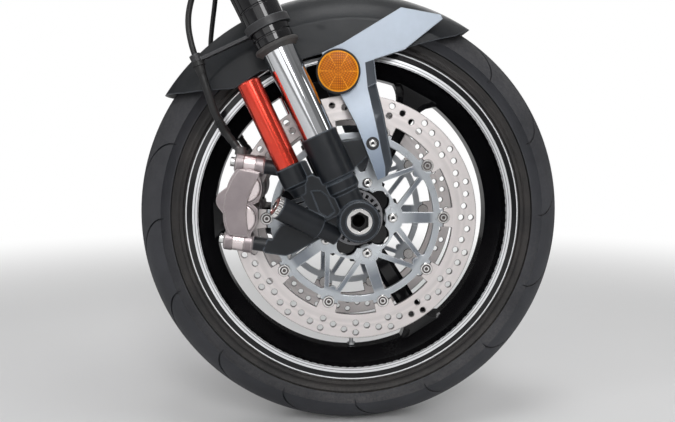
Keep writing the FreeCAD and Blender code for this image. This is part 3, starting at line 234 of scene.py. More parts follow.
# Colour painted on the corners: the lighter tones are painted highlights, and the darker ones of the disc and the
# machined caliper faces are painted shade; how much of it, radius in metres
edgeLightAndShade = {
    "footBlack": ((0.17, 0.20, 0.24), 0.65, 0.0026),
    "guardBlack": ((0.13, 0.145, 0.165), 0.7, 0.0025),
    "blackAnodised": ((0.14, 0.15, 0.16), 0.7, 0.002),
    "capAnodised": ((0.30, 0.31, 0.32), 0.6, 0.0012),
    "redAnodised": ((1.0, 0.40, 0.30), 0.8, 0.0016),
    "caliperBody": ((0.70, 0.63, 0.63), 0.8, 0.0022),
    "caliperMachined": ((0.10, 0.075, 0.075), 0.95, 0.0026),
    "armGrey": ((0.50, 0.55, 0.61), 0.8, 0.0022),
    "armUndersideShade": ((0.17, 0.20, 0.235), 0.8, 0.0022),
    "bracketBlack": ((0.14, 0.15, 0.16), 0.7, 0.0016),
    "discSteel": ((0.060, 0.052, 0.050), 0.95, 0.0017),
    "carrierAlloy": ((0.95, 0.97, 1.0), 0.9, 0.0020),
    "sealRubber": ((0.12, 0.115, 0.11), 0.6, 0.0016),
    "toneSteel": ((0.55, 0.55, 0.55), 0.6, 0.001),
}

# Colour, drifted colour, roughness, its spread, grain size and depth, dust, and plain shader values
finishes = {
    "machinedSteel": ((0.50, 0.50, 0.51), (0.45, 0.45, 0.46), 0.42, 0.03, 700, 0.0, 0.0, {"Metallic": 0.8}),
    "zincBolt": ((0.74, 0.74, 0.73), (0.60, 0.60, 0.60), 0.26, 0.07, 900, 0.05, 0.05, {"Metallic": 1.0}),
    "blackAnodised": ((0.012, 0.012, 0.014), (0.020, 0.020, 0.023), 0.32, 0.06, 1600, 0.10, 0.08,
                      {"Specular_IOR_Level": 0.45}),
    "glossBlackTube": ((0.004, 0.004, 0.005), (0.008, 0.008, 0.010), 0.10, 0.04, 400, 0.02, 0.05,
                       {"Specular_IOR_Level": 0.6}),
    "capAnodised": ((0.09, 0.09, 0.10), (0.13, 0.13, 0.14), 0.30, 0.05, 1200, 0.06, 0.1, {"Metallic": 0.9}),
    "hardChrome": ((0.72, 0.73, 0.75), (0.66, 0.67, 0.69), 0.05, 0.02, 300, 0.0, 0.02, {"Metallic": 1.0}),
    "sealRubber": ((0.040, 0.039, 0.040), (0.080, 0.074, 0.070), 0.55, 0.10, 1500, 0.25, 0.30,
                   {"Specular_IOR_Level": 0.35}),
    "footBlack": ((0.006, 0.0075, 0.010), (0.011, 0.0135, 0.0175), 0.33, 0.06, 1500, 0.30, 0.06,
                  {"Specular_IOR_Level": 0.35}),
    # a darker copy of the disc steel: painted shade on the walls of the holes and in the bobbins' hollows
    "shadedSteel": ((0.10, 0.088, 0.085), (0.16, 0.145, 0.14), 0.34, 0.06, 900, 0.05, 0.05, {"Metallic": 0.8}),
    "redAnodised": ((0.86, 0.070, 0.036), (0.74, 0.050, 0.026), 0.20, 0.05, 1200, 0.03, 0.02,
                    {"Metallic": 0.85, "Coat_Weight": 0.5, "Coat_Roughness": 0.08}),
    "caliperBody": ((0.29, 0.25, 0.26), (0.36, 0.315, 0.32), 0.34, 0.07, 1300, 0.25, 0.08,
                    {"Metallic": 0.9}),
    "caliperMachined": ((0.86, 0.77, 0.77), (0.76, 0.67, 0.675), 0.30, 0.06, 900, 0.08, 0.04,
                        {"Metallic": 0.95}),
    "padPlate": ((0.06, 0.055, 0.05), (0.11, 0.08, 0.06), 0.6, 0.1, 1200, 0.3, 0.2, {"Metallic": 0.5}),
    "hoseRubber": ((0.009, 0.009, 0.010), (0.018, 0.018, 0.018), 0.42, 0.08, 1400, 0.15, 0.12,
                   {"Specular_IOR_Level": 0.4}),
    "banjoSteel": ((0.085, 0.080, 0.082), (0.13, 0.12, 0.12), 0.36, 0.07, 1100, 0.15, 0.08,
                   {"Metallic": 0.7}),
    "bracketBlack": ((0.022, 0.022, 0.024), (0.035, 0.035, 0.038), 0.45, 0.08, 1500, 0.2, 0.2, {}),
    "axleSteel": ((0.86, 0.85, 0.84), (0.74, 0.73, 0.72), 0.22, 0.06, 900, 0.06, 0.03, {"Metallic": 1.0}),
    "turnedAlloy": ((0.55, 0.56, 0.57), (0.45, 0.46, 0.47), 0.28, 0.06, 900, 0.08, 0.05, {"Metallic": 1.0}),
    "guardBlack": ((0.009, 0.0105, 0.013), (0.014, 0.0165, 0.020), 0.36, 0.06, 1100, 0.30, 0.10,
                   {"Specular_IOR_Level": 0.3}),
    # the stay's darker faces: partly its own dark underside, partly painted shade
    "armUndersideShade": ((0.035, 0.042, 0.052), (0.050, 0.058, 0.070), 0.36, 0.05, 1600, 0.12, 0.06,
                {"Metallic": 0.3, "Coat_Weight": 0.2, "Coat_Roughness": 0.25}),
    "brightAlloy": ((0.84, 0.83, 0.82), (0.70, 0.69, 0.68), 0.20, 0.05, 900, 0.04, 0.03, {"Metallic": 1.0}),
    "redBrown": ((0.34, 0.075, 0.055), (0.26, 0.055, 0.045), 0.35, 0.06, 900, 0.1, 0.05, {"Metallic": 0.6}),
    "deepBlack": ((0.008, 0.008, 0.009), (0.016, 0.016, 0.017), 0.5, 0.1, 1200, 0.15, 0.05, {}),
    "toneSteel": ((0.30, 0.30, 0.31), (0.20, 0.20, 0.21), 0.38, 0.08, 900, 0.1, 0.1, {"Metallic": 1.0}),
}
dustColour = (0.23, 0.21, 0.19)
scratchRoughness = 0.12                         # how much rougher a scratch is
grainHeight = 0.0004                            # metres


def newMaterial(name, **shader):
    made = bpy.data.materials.new(name)
    made.use_nodes = True
    tree = made.node_tree
    bsdf = tree.nodes["Principled BSDF"]
    for socket, value in shader.items():
        bsdf.inputs[socket.replace("_", " ")].default_value = value
    return made, tree, bsdf


def paintEdgeLightAndShade(tree, base, name):                 # the base colour with painted highlights and painted shade on its corners, and their normal
    if name not in edgeLightAndShade:
        return base, None
    tone, amount, radius = edgeLightAndShade[name]
    corners = useGroup(tree, edgeGroup, Radius=radius)
    return blend(tree, times(tree, corners["Edge"], amount), base, tone), corners["Normal"]


def setNormal(tree, bsdf, height, depth, distance, under=None):
    bump = addNode(tree, "ShaderNodeBump", {"Height": height, "Strength": depth, "Distance": distance})
    if under:
        feed(tree, bump, Normal=under)
    feed(tree, bsdf, Normal=bump.outputs[0])


def makeFinish(name):
    colour, drifted, roughness, spread, grain, depth, dust, plain = finishes[name]
    material, tree, bsdf = newMaterial(name, **plain)
    wear = useGroup(tree, surfaceGroup, Scale=24.0, Grain=float(grain))
    base = blend(tree, wear["Mottle"], colour, drifted)
    if dust:
        base = blend(tree, times(tree, wear["Dust"], dust), base, dustColour)
    # painted highlights, and painted shade on some finishes, along the corners
    base, under = paintEdgeLightAndShade(tree, base, name)
    rough = stretch(tree, wear["Mottle"], 0, 1, roughness - spread, roughness + spread)
    scratches = times(tree, wear["Scratch"], scratchRoughness)
    feed(tree, bsdf, Base_Color=base, Roughness=maths(tree, "ADD", rough, scratches))
    if depth:
        setNormal(tree, bsdf, wear["Grain"], depth, grainHeight, under)
    return material


def makeTyreRubber():
    # Tread and shoulder step in metres from the axle, and how much of the worn, dark and dusty tones; the dark of
    # the step is painted shade at the shoulder
    look = {"tread": 0.2500, "stepFrom": 0.2492, "stepTo": 0.2506, "worn": 0.35, "dark": 0.85, "dust": 0.45}
    material, tree, bsdf = newMaterial("tyreRubber", Specular_IOR_Level=0.35)
    wear = useGroup(tree, surfaceGroup, Scale=16.0, Grain=1300.0)
    rings = useGroup(tree, turnedGroup, Rings=700.0, Sweep=2.0)
    tread = stretch(tree, rings["Distance"], look["tread"], look["tread"] + 0.001)
    side = blend(tree, wear["Mottle"], (0.009, 0.0088, 0.0095), (0.026, 0.0225, 0.0215))
    # the lighter bluish tread is a painted reflection of sky light
    run = blend(tree, wear["Mottle"], (0.020, 0.0215, 0.0262), (0.036, 0.038, 0.045))
    worn = blend(tree, times(tree, rings["Line"], look["worn"]), run, (0.056, 0.056, 0.062))
    # the dark line at the step: painted shade
    step = times(tree, maths(tree, "GREATER_THAN", rings["Distance"], look["stepFrom"]),
                 maths(tree, "LESS_THAN", rings["Distance"], look["stepTo"]))
    rubber = blend(tree, times(tree, step, look["dark"]), blend(tree, tread, side, worn),
                   (0.002, 0.002, 0.002))
    feed(tree, bsdf, Base_Color=blend(tree, times(tree, wear["Dust"], look["dust"]), rubber, dustColour),
         Roughness=stretch(tree, tread, 0, 1, 0.46, 0.66))
    height = maths(tree, "ADD", wear["Grain"], times(tree, rings["Line"], 0.5))
    setNormal(tree, bsdf, height, 0.35, 0.0006)
    return material


def makeRimBlack():
    # Gloss black, with bright rings on the lip that are a painted reflection of light on its rounded edge: metres
    # from the axle, and brightness
    look = {"low": 0.2130, "high": 0.2320, "outside": 0.0495,
            "rings": [(0.2130, 0), (0.2134, 0.8), (0.2141, 0), (0.2149, 1), (0.2174, 0.1), (0.2183, 1),
                      (0.2212, 0), (0.2291, 1)]}
    material, tree, bsdf = newMaterial("rimBlack", Coat_Roughness=0.06, Coat_Weight=0.15,
                                       Specular_IOR_Level=0.3)
    wear = useGroup(tree, surfaceGroup, Scale=14.0, Grain=500.0)
    rings = useGroup(tree, turnedGroup, Rings=1400.0, Sweep=1.0)
    across = maths(tree, "ABSOLUTE", partsFrom(tree, axle)[1])
    out = stretch(tree, rings["Distance"], look["low"], look["high"])
    stops = [((distance - look["low"]) / (look["high"] - look["low"]), light)
             for distance, light in look["rings"]]
    # the painted reflection: silver rings on the black lip
    reflectedRings = greyRamp(tree, out, stops, "CONSTANT")
    bright = times(tree, firstChannel(tree, reflectedRings), maths(tree, "GREATER_THAN", across, look["outside"]))
    black = blend(tree, wear["Mottle"], (0.004, 0.004, 0.005), (0.008, 0.008, 0.009))
    reflectionSilver = blend(tree, rings["Line"], (0.78, 0.79, 0.81), (0.92, 0.93, 0.95))
    dusty = blend(tree, times(tree, wear["Dust"], 0.05), black, dustColour)
    feed(tree, bsdf, Base_Color=blend(tree, bright, dusty, reflectionSilver),
         Roughness=stretch(tree, bright, 0, 1, 0.12, 0.24), Metallic=stretch(tree, bright, 0, 1, 0.0, 0.6))
    return material


def makeDiscSteel():
    # Ground steel, with the tracks of the pads and a few stains
    look = {"tracks": 0.5, "stains": 0.18}
    material, tree, bsdf = newMaterial("discSteel", Metallic=0.6)
    wear = useGroup(tree, surfaceGroup, Scale=30.0, Grain=900.0)
    rings = useGroup(tree, turnedGroup, Rings=2600.0, Sweep=2.2)
    steel = blend(tree, rings["Line"], (0.64, 0.595, 0.59), (0.90, 0.85, 0.845))
    tracks = blend(tree, times(tree, rings["Band"], look["tracks"]), steel, (0.58, 0.55, 0.545))
    spotted = blend(tree, times(tree, wear["Mottle"], look["stains"]), tracks, (0.56, 0.50, 0.48))
    # darker corners round the holes: painted shade
    base, under = paintEdgeLightAndShade(tree, spotted, "discSteel")
    feed(tree, bsdf, Base_Color=base, Roughness=stretch(tree, rings["Line"], 0.2, 0.8, 0.26, 0.46))
    setNormal(tree, bsdf, rings["Line"], 0.16, 0.0003, under)
    return material


def makeReflectorLens():
    # Six sectors of small prisms about the middle of the lens, painted from dark to bright amber as painted glints
    look = {"prism": 620.0, "rimFrom": 0.0243, "rimTo": 0.0252, "borderFrom": 0.49, "borderTo": 0.515}
    material, tree, bsdf = newMaterial("reflectorLens", Coat_Weight=0.05, Coat_Roughness=0.06, Roughness=0.4,
                                       Specular_IOR_Level=0.15)
    middleX, middleZ = onLeg(*reflectorSpot)
    x, y, z = partsFrom(tree, axle + Vector((middleX, 0, middleZ)) * mm)
    out = rootOfSquares(tree, x, z)
    turn = maths(tree, "ARCTAN2", z, x)
    inSector = maths(tree, "SUBTRACT", maths(tree, "FLOORED_MODULO", turn, pi / 3), pi / 6)
    along = times(tree, out, maths(tree, "COSINE", inSector))
    across = times(tree, out, maths(tree, "SINE", inSector))
    ridges = maths(tree, "PINGPONG", times(tree, along, look["prism"]), 1.0)
    cells = maths(tree, "PINGPONG", times(tree, across, look["prism"] * 1.15), 1.0)
    prism = times(tree, ridges, cells)
    border = stretch(tree, maths(tree, "ABSOLUTE", inSector), look["borderFrom"], look["borderTo"])
    rim = stretch(tree, out, look["rimFrom"], look["rimTo"])
    wear = useGroup(tree, surfaceGroup, Scale=60.0, Grain=600.0)
    # painted glints: dark to bright amber over each prism
    amber = blend(tree, prism, (0.30, 0.062, 0.0005), (0.86, 0.27, 0.002))
    mottled = blend(tree, times(tree, wear["Mottle"], 0.35), amber, (0.80, 0.24, 0.003))
    marked = blend(tree, maths(tree, "MAXIMUM", border, rim), mottled, (0.92, 0.36, 0.02))
    feed(tree, bsdf, Base_Color=marked)
    setNormal(tree, bsdf, prism, 0.25, 0.0005)
    return material


def makeArmGrey():
    # Satin grey, whose light grey-blue is partly a painted reflection of bright surroundings, and darker down the
    # stay as a painted reflection; the facet goes on above, up to the line of the arm's lower edge
    look = {"low": 0.04, "bend": 0.09, "high": 0.13, "armSlope": 0.119, "arm": 0.1928,
            "frontSlope": 0.344, "front": 0.0341, "facetFrom": facetTop * mm}
    blur = 0.0002
    material, tree, bsdf = newMaterial("armGrey", Metallic=0.25, Specular_IOR_Level=0.3)
    wear = useGroup(tree, surfaceGroup, Scale=24.0, Grain=1600.0)
    x, y, z = partsFrom(tree, axle)
    up = maths(tree, "SUBTRACT", times(tree, z, cos(legLean)), times(tree, x, sin(legLean)))
    ahead = maths(tree, "ADD", times(tree, x, cos(legLean)), times(tree, z, sin(legLean)))
    # painted reflection: the grey lightens up the stay
    share = maths(tree, "ADD", stretch(tree, up, look["low"], look["bend"], 0.1, 0.4),
                  stretch(tree, up, look["bend"], look["high"], 0, 0.6))
    dark = blend(tree, wear["Mottle"], (0.155, 0.195, 0.260), (0.175, 0.220, 0.290))
    light = blend(tree, wear["Mottle"], (0.40, 0.45, 0.52), (0.45, 0.51, 0.59))
    below = stretch(tree, maths(tree, "ADD", up, times(tree, ahead, look["armSlope"])),
                    look["arm"] - blur, look["arm"] + blur, 1, 0)
    before = stretch(tree, maths(tree, "ADD", ahead, times(tree, up, -look["frontSlope"])),
                     look["front"] - blur, look["front"] + blur)
    above = stretch(tree, up, look["facetFrom"] - blur, look["facetFrom"] + blur)
    # the facet above: partly the dark underside, partly painted shade
    facet = times(tree, times(tree, below, before), above)
    faceted = blend(tree, facet, blend(tree, share, dark, light), finishes["armUndersideShade"][0])
    base, under = paintEdgeLightAndShade(tree, faceted, "armGrey")
    feed(tree, bsdf, Base_Color=base, Roughness=stretch(tree, wear["Mottle"], 0, 1, 0.38, 0.46))
    setNormal(tree, bsdf, wear["Grain"], 0.1, grainHeight, under)
    return material


def makeCarrierAlloy():
    # Milled alloy; lighter about the hub and darker towards the disc, as a painted reflection
    look = {"hub": 0.054, "dark": 0.084, "ringFrom": 0.100, "ringTo": 0.106}
    material, tree, bsdf = newMaterial("carrierAlloy", Metallic=0.9)
    wear = useGroup(tree, surfaceGroup, Scale=30.0, Grain=700.0)
    rings = useGroup(tree, turnedGroup, Rings=1500.0, Sweep=6.0)
    out = stretch(tree, rings["Distance"], look["hub"], look["dark"])
    again = stretch(tree, rings["Distance"], look["ringFrom"], look["ringTo"], 1.0, 0.35)
    light = blend(tree, rings["Line"], (0.60, 0.64, 0.68), (0.76, 0.79, 0.82))
    dark = blend(tree, rings["Line"], (0.17, 0.19, 0.22), (0.26, 0.285, 0.32))
    # painted reflection: light about the hub, dark towards the disc, lighter again at the outer ring
    litAndShaded = blend(tree, times(tree, out, again), light, dark)
    spotted = blend(tree, times(tree, wear["Mottle"], 0.25), litAndShaded, (0.30, 0.32, 0.35))
    base, under = paintEdgeLightAndShade(tree, spotted, "carrierAlloy")
    feed(tree, bsdf, Base_Color=base, Roughness=stretch(tree, wear["Mottle"], 0, 1, 0.26, 0.36))
    setNormal(tree, bsdf, rings["Line"], 0.08, 0.0003, under)
    return material


materials = {name: makeFinish(name) for name in finishes}
for make in (makeArmGrey, makeCarrierAlloy, makeTyreRubber, makeRimBlack, makeDiscSteel, makeReflectorLens):
    made = make()
    materials[made.name] = made
print("materials built:", len(materials))


# Pieces

def asMesh(name, shape):                        # a bmesh becomes a mesh
    mesh = bpy.data.meshes.new(name)
    shape.to_mesh(mesh)
    shape.free()
    return mesh


def inScene(name, data):                        # a mesh, lamp or camera becomes an object of the scene
    made = bpy.data.objects.new(name, data)
    bpy.context.scene.collection.objects.link(made)
    return made


def finishPiece(name, shape, node, finish, replaces=True, place=None, rounding=0.0, smooth=35):
    # A bmesh becomes an object at the origin that rides with the node; rounding is in millimetres
    if place is not None:
        shape.transform(place)
    mesh = asMesh(name, shape)
    mesh.shade_smooth()
    mesh.set_sharp_from_angle(angle=radians(smooth))
    made = inScene(name, mesh)
    for one in ([finish] if isinstance(finish, str) else finish):
        mesh.materials.append(materials[one])
    if rounding:
        bevel = made.modifiers.new("roundedEdges", "BEVEL")
        bevel.width = rounding * mm
        bevel.segments = 2
        bevel.limit_method = "ANGLE"
        bevel.angle_limit = radians(28)
        bevel.use_clamp_overlap = True
        bevel.harden_normals = False
        weighted = made.modifiers.new("evenShading", "WEIGHTED_NORMAL")
        weighted.keep_sharp = True
        weighted.weight = 60
    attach(made, nodeBody[node])
    if replaces:
        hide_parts(node)
    return made


def everyFace(centre, normal):
    return True


def paint(shape, wanted=everyFace):             # the second finish on the faces that are wanted
    for face in shape.faces:
        if wanted(face.calc_center_median(), face.normal):
            face.material_index = 1


def roundedCopy(node, finish, rounding, wanted):
    # The node's own form with merged corners and rounded edges
    near = 2e-6                                 # metres
    shape = bmesh.new()
    shape.from_mesh(frame["nodes"][node].data)
    bmesh.ops.remove_doubles(shape, verts=shape.verts, dist=near)
    bmesh.ops.dissolve_degenerate(shape, dist=near, edges=shape.edges)
    bmesh.ops.dissolve_limit(shape, angle_limit=radians(0.6), use_dissolve_boundaries=False,
                             verts=shape.verts, edges=shape.edges, delimit=set())
    if wanted:
        paint(shape, wanted)
    return finishPiece(node + "_dressed", shape, node, finish, rounding=rounding)


# Faces that are painted, told by their middle and normal: places in millimetres from the axle

def endOfAxle(centre, normal):                  # its bore and its right end, painted black as painted shade in the hollow
    look = {"bore": 9, "end": 110.5}
    place = fromAxle(centre)
    return hypot(place.x, place.z) < look["bore"] or place.y < -look["end"]


def hexagonSocket(centre, normal):              # within its corners, below the face of the axle's head: the socket painted black as painted shade
    look = {"corners": 12.9, "face": 124.6}
    place = fromAxle(centre)
    return hypot(place.x, place.z) < look["corners"] and place.y > -look["face"]


def machinedFaces(centre, normal):              # piston bosses and the ends of the lugs
    look = {"bossFrom": 110.6, "bossTo": 111.4, "lugUp": 47, "lugEnd": 148, "lugOut": 108}
    ahead, out, up = inCaliper(centre)
    onLug = abs(up) > look["lugUp"] and ahead > -look["lugEnd"] and out < look["lugOut"]
    return onLug or look["bossFrom"] < out < look["bossTo"]


def darkOfStay(centre, normal):                 # the facet ahead, the rear edge and the hidden side, darker: partly the part's own dark underside, partly painted shade
    look = {"ahead": 0.15, "outward": 0.3}      # how much of the normal points that way
    outward = normal.y * (1 if centre.y > 0 else -1)
    ahead = abs(normal.dot(Vector((cos(legLean), 0, sin(legLean)))))
    return (ahead > look["ahead"] and upTheLeg(centre) < facetTop) or outward < look["outward"]


def edgesOfDisc(centre, normal):                # walls of the holes, too, painted darker as painted shade
    return abs(normal.y) < 0.5


# Nodes, finish, rounding of their edges in millimetres, and what is painted in the second finish
dressed = [
    ("steering_stem", "machinedSteel", 0.5, None),
    ("lower_yoke", "blackAnodised", 1.2, None),
    ("yoke_bolts", "zincBolt", 0.4, None),
    ("outer_tube_right outer_tube_left", "glossBlackTube", 0.3, None),
    ("fork_cap_right fork_cap_left", "capAnodised", 0.4, None),
    ("stanchion_right stanchion_left", "hardChrome", 0.0, None),
    ("fork_seals", "sealRubber", 0.5, None),
    ("fork_foot_right fork_foot_left", "footBlack", 0.5, None),
    ("damper_chamber_right damper_chamber_left", "redAnodised", 0.7, None),
    ("caliper_right caliper_left", ("caliperBody", "caliperMachined"), 0.6, machinedFaces),
    ("brake_pads", "padPlate", 0.4, None),
    ("caliper_bolts", "zincBolt", 0.6, None),
    ("hose_banjos", "banjoSteel", 0.6, None),
    ("hose_guides", "bracketBlack", 0.6, None),
    ("hose_union", "blackAnodised", 1.5, None),
    ("axle", ("axleSteel", "deepBlack"), 0.5, endOfAxle),
    ("axle_head", ("axleSteel", "deepBlack"), 0.5, hexagonSocket),
    ("axle_nut", "axleSteel", 0.8, None),
    ("wheel_spacers", "turnedAlloy", 0.4, None),
    ("mudguard_shell", "guardBlack", 1.2, None),
    ("mudguard_arm_right mudguard_arm_left", ("armGrey", "armUndersideShade"), 0.5, darkOfStay),
    ("wheel_rim", "rimBlack", 1.5, None),
    ("wheel_bearings", "turnedAlloy", 0.3, None),
    ("brake_disc_right brake_disc_left", ("discSteel", "shadedSteel"), 0.2, edgesOfDisc),
    ("disc_carrier_right disc_carrier_left", "carrierAlloy", 0.4, None),
    ("tone_ring", "toneSteel", 0.2, None),
]
for nodes, finish, rounding, wanted in dressed:
    for node in nodes.split():
        roundedCopy(node, finish, rounding, wanted)
print("nodes dressed:", sum(len(row[0].split()) for row in dressed))


# Pieces modelled afresh

def lathe(profile, steps=48):                   # radius and height pairs, spun about Z
    shape = bmesh.new()
    line = [shape.verts.new((radius, 0, height)) for radius, height in profile]
    edges = [shape.edges.new(pair) for pair in zip(line, line[1:])]
    bmesh.ops.spin(shape, geom=line + edges, cent=(0, 0, 0), axis=(0, 0, 1), angle=tau, steps=steps,
                   use_merge=True)
    bmesh.ops.remove_doubles(shape, verts=shape.verts, dist=1e-4)
    bmesh.ops.recalc_face_normals(shape, faces=shape.faces)
    return shape


def makeHexagon(shape, radius):                 # a round rim of this radius becomes six flats
    for vert in shape.verts:
        if abs(hypot(vert.co.x, vert.co.y) - radius) < 0.02:
            vert.co.xy *= cos(pi / 6) / cos(atan2(vert.co.y, vert.co.x) % (pi / 3) - pi / 6)


def gather(patterns):                           # copies of shapes, each at its places, in one bmesh
    whole = bmesh.new()
    for source, places in patterns:
        mesh = asMesh("pattern", source)
        for place in places:
            start = len(whole.verts)
            whole.from_mesh(mesh)
            whole.verts.ensure_lookup_table()
            bmesh.ops.transform(whole, matrix=place, verts=whole.verts[start:])
        bpy.data.meshes.remove(mesh)
    return whole


asIs = [Matrix.Identity(4)]                     # one copy, left in its place


def onCircle(count, circle, out):               # places round the axle on both sides, facing outwards
    return [aimed(circle * cos(turn), side * out, circle * sin(turn), (0, side, 0))
            for name, side in sides for turn in (tau * number / count for number in range(count))]


def onBothLegs(ahead, up, out):                 # a place on each side, facing outwards
    x, z = onLeg(ahead, up)
    return [aimed(x, side * out, z, (0, side, 0)) for name, side in sides]


def arcTo(start, end, radius, count):           # points after start on an arc
    first, last = Vector(start), Vector(end)
    chord = last - first
    reach = sqrt(radius * radius - chord.length_squared / 4)
    centre = (first + last) / 2 + Vector((-chord.y, chord.x)).normalized() * reach
    begin = (first - centre).angle_signed(last - centre)
    return [tuple(Matrix.Rotation(-begin * step / count, 2) @ (first - centre) + centre)
            for step in range(1, count + 1)]


def carve(shape, cutter):                       # the first shape less the second
    made = [inScene("carving", asMesh("carving", each)) for each in (shape, cutter)]
    taken = made[0].modifiers.new("carving", "BOOLEAN")
    taken.operation, taken.solver, taken.object = "DIFFERENCE", "EXACT", made[1]
    result = bpy.data.meshes.new_from_object(made[0].evaluated_get(bpy.context.evaluated_depsgraph_get()))
    whole = bmesh.new()
    whole.from_mesh(result)
    for each in made:
        mesh = each.data
        bpy.data.objects.remove(each)
        bpy.data.meshes.remove(mesh)
    bpy.data.meshes.remove(result)
    return whole


def makeTyre():
    look = {"half": 60, "radius": 300, "shoulder": 262, "edge": 250.5, "bead": 46.5, "beadOut": 232.7,
            "wall": 34, "crownSteps": 24, "wallSteps": 18, "steps": 216, "grooves": 16}
    widest, shoulder, edge = look["half"], look["shoulder"], look["edge"]
    bead, beadOut = look["bead"], look["beadOut"]
    rise = look["radius"] - shoulder
    crown = (widest ** 2 + rise ** 2) / (2 * rise)
    middle = look["radius"] - crown
    leans = [asin(widest / crown) * step / look["crownSteps"] for step in range(look["crownSteps"])]
    half = [(middle + crown * cos(lean), crown * sin(lean)) for lean in leans]
    wall = [(widest, shoulder)] + arcTo((widest, shoulder), (bead + 1.6, beadOut + 7), look["wall"],
                                        look["wallSteps"])
    outer = [(radius, across) for across, radius in wall if radius > edge + 0.6]
    inner = [(radius, across - 1.3 * min(1, (radius - beadOut - 6) / 4)) for across, radius in wall
             if radius < edge - 0.6]
    half += outer + [(edge, outer[-1][1] - 0.3), (edge - 0.5, inner[0][1] - 0.1)] + inner
    half += [(beadOut + 6.2, bead + 2.6), (beadOut + 2.2, bead + 1.8), (beadOut + 1.2, bead + 0.4),
             (beadOut, bead), (226.7, 44.3), (217.8, 44.3)]
    right = half + [(217.8, 32.3), (230.7, 32.3), (259, 51), (283, 28), (291, 0)]
    left = [(radius, -across) for radius, across in right[-2:0:-1]]
    shape = lathe(right + left + [right[0]], look["steps"])
    grooves = []
    for side in (-1, 1):
        for number in range(look["grooves"]):
            start = tau * (number + (0.5 if side > 0 else 0)) / look["grooves"]
            grooves.append((makeGroove(side, start, crown, middle), asIs))
    finishPiece("tyre_grooved", carve(shape, gather(grooves)), "tyre", "tyreRubber",
                place=aimed(0, 0, 0, (0, 1, 0)))


def makeGroove(side, start, crown, middle):     # what one groove takes from the tread
    look = {"width": 3.0, "narrow": 0.35, "depth": 3.2, "above": 4, "from": 9, "reach": 77, "sweep": 17,
            "curl": 2.4, "spread": 0.85, "fallFrom": 71, "fall": 0.48, "segments": 18}
    strip = bmesh.new()
    bmesh.ops.create_grid(strip, x_segments=look["segments"], y_segments=1, size=1)

    def path(share):                            # turn about the axle, and how far across the tread
        return (start - radians(look["sweep"]) * (1 - share) ** look["curl"],
                look["from"] + look["reach"] * share ** look["spread"])

    def onTread(turn, across, lift):
        lean = across / crown
        radius = middle + (crown + lift) * cos(lean)
        return Vector((radius * cos(turn), radius * sin(turn), side * (crown + lift) * sin(lean)))

    grown = bmesh.ops.extrude_face_region(strip, geom=strip.faces[:])
    raised = {vert for vert in grown["geom"] if isinstance(vert, bmesh.types.BMVert)}
    for vert in strip.verts:
        share, edge = (vert.co.x + 1) / 2, vert.co.y
        turn, across = path(share)
        nextTurn, nextAcross = path(min(1, share + 0.02))
        radius = middle + crown * cos(across / crown)
        along = Vector((radius * (nextTurn - turn), nextAcross - across))
        along = along.normalized() if along.length > 1e-6 else Vector((0, 1))
        swell = sin(pi * min(1, share * 1.1)) ** 0.5
        width = look["width"] * (look["narrow"] + (1 - look["narrow"]) * swell) / 2
        turn -= edge * width * along.y / radius
        across += edge * width * along.x
        # The wall falls away from the crown near the shoulder, so the cut goes deeper there
        depth = look["depth"] + look["fall"] * max(0, across - look["fallFrom"])
        vert.co = onTread(turn, across, look["above"] if vert in raised else -depth)
    bmesh.ops.recalc_face_normals(strip, faces=strip.faces)
    return strip


def makeLugBarrels():                           # turned barrels about the calipers' lugs, and bleed nipples
    look = {"radius": 13.4, "start": 130.2, "end": 167, "up": 50, "out": 97, "groove": 0.8, "slope": 0.6,
            "grooveFrom": 0.28, "grooveTo": 0.7, "hexagon": 4.4, "nippleUp": -13}
    radius, waist, long = look["radius"], look["radius"] - look["groove"], look["end"] - look["start"]
    low, high, slope = long * look["grooveFrom"], long * look["grooveTo"], look["slope"]
    barrel = lathe([(9, 0), (radius - 1, 0), (radius, 1), (radius, low), (waist, low + slope), (waist, high),
                    (radius, high + slope), (radius, long - 1.4), (radius - 1.4, long), (9, long)], 48)
    paint(barrel, lambda centre, normal: low < centre.z < high + slope or centre.z > long - 0.5)
    x, z = onCaliper(-1, 0)
    places = []
    for name, side in sides:
        for up in (look["up"], -look["up"]):
            startX, startZ = onCaliper(-look["start"], up)
            places.append(aimed(startX, side * look["out"], startZ, (x, 0, z)))
    nipple = lathe([(0, 0), (look["hexagon"], 0), (look["hexagon"], 4), (2.6, 4.6), (2.2, 6), (2.2, 9),
                    (3.1, 9.4), (3.1, 11), (2.2, 12.4), (0, 12.4)], 24)
    makeHexagon(nipple, look["hexagon"])
    paint(nipple)
    startX, startZ = onCaliper(-look["end"], look["nippleUp"])
    nipples = [aimed(startX, side * look["out"], startZ, (-x, 0, -z)) for name, side in sides]
    finishPiece("lugBarrels_turned", gather([(barrel, places), (nipple, nipples)]), "caliper_right",
                ("caliperBody", "caliperMachined"), replaces=False, smooth=30)


# The hose's points as in the part's source: ahead of the leg axis, out from the middle plane, up the leg
hoseRoute = [(-100.9, 96.3, 151.9), (-106, 97, 173), (-107, 103, 200), (-103, 106, 228), (-99, 106, 256),
             (-97, 105, 286), (-88, 101, 319.1), (-68, 90, 348.6), (-46, 70, 376.2), (-26, 48, 405.6),
             (-12, 30, 431.4), (-6, 20, 455.3), (-6, 20, 470.0)]


def makeRoute(name, side, radius):              # a curve through the route, this thick
    curve = bpy.data.curves.new(name, "CURVE")
    curve.dimensions = "3D"
    curve.bevel_depth = radius * mm
    curve.bevel_resolution = 6
    curve.use_fill_caps = True
    spline = curve.splines.new("NURBS")
    spline.points.add(len(hoseRoute) - 1)
    for point, (ahead, out, up) in zip(spline.points, hoseRoute):
        x, z = onLeg(ahead, up)
        point.co = (*(axle + Vector((x, side * out, z)) * mm), 1)
    spline.order_u = 3
    spline.use_endpoint_u = True
    spline.resolution_u = 12
    return bpy.data.objects.new(name, curve)


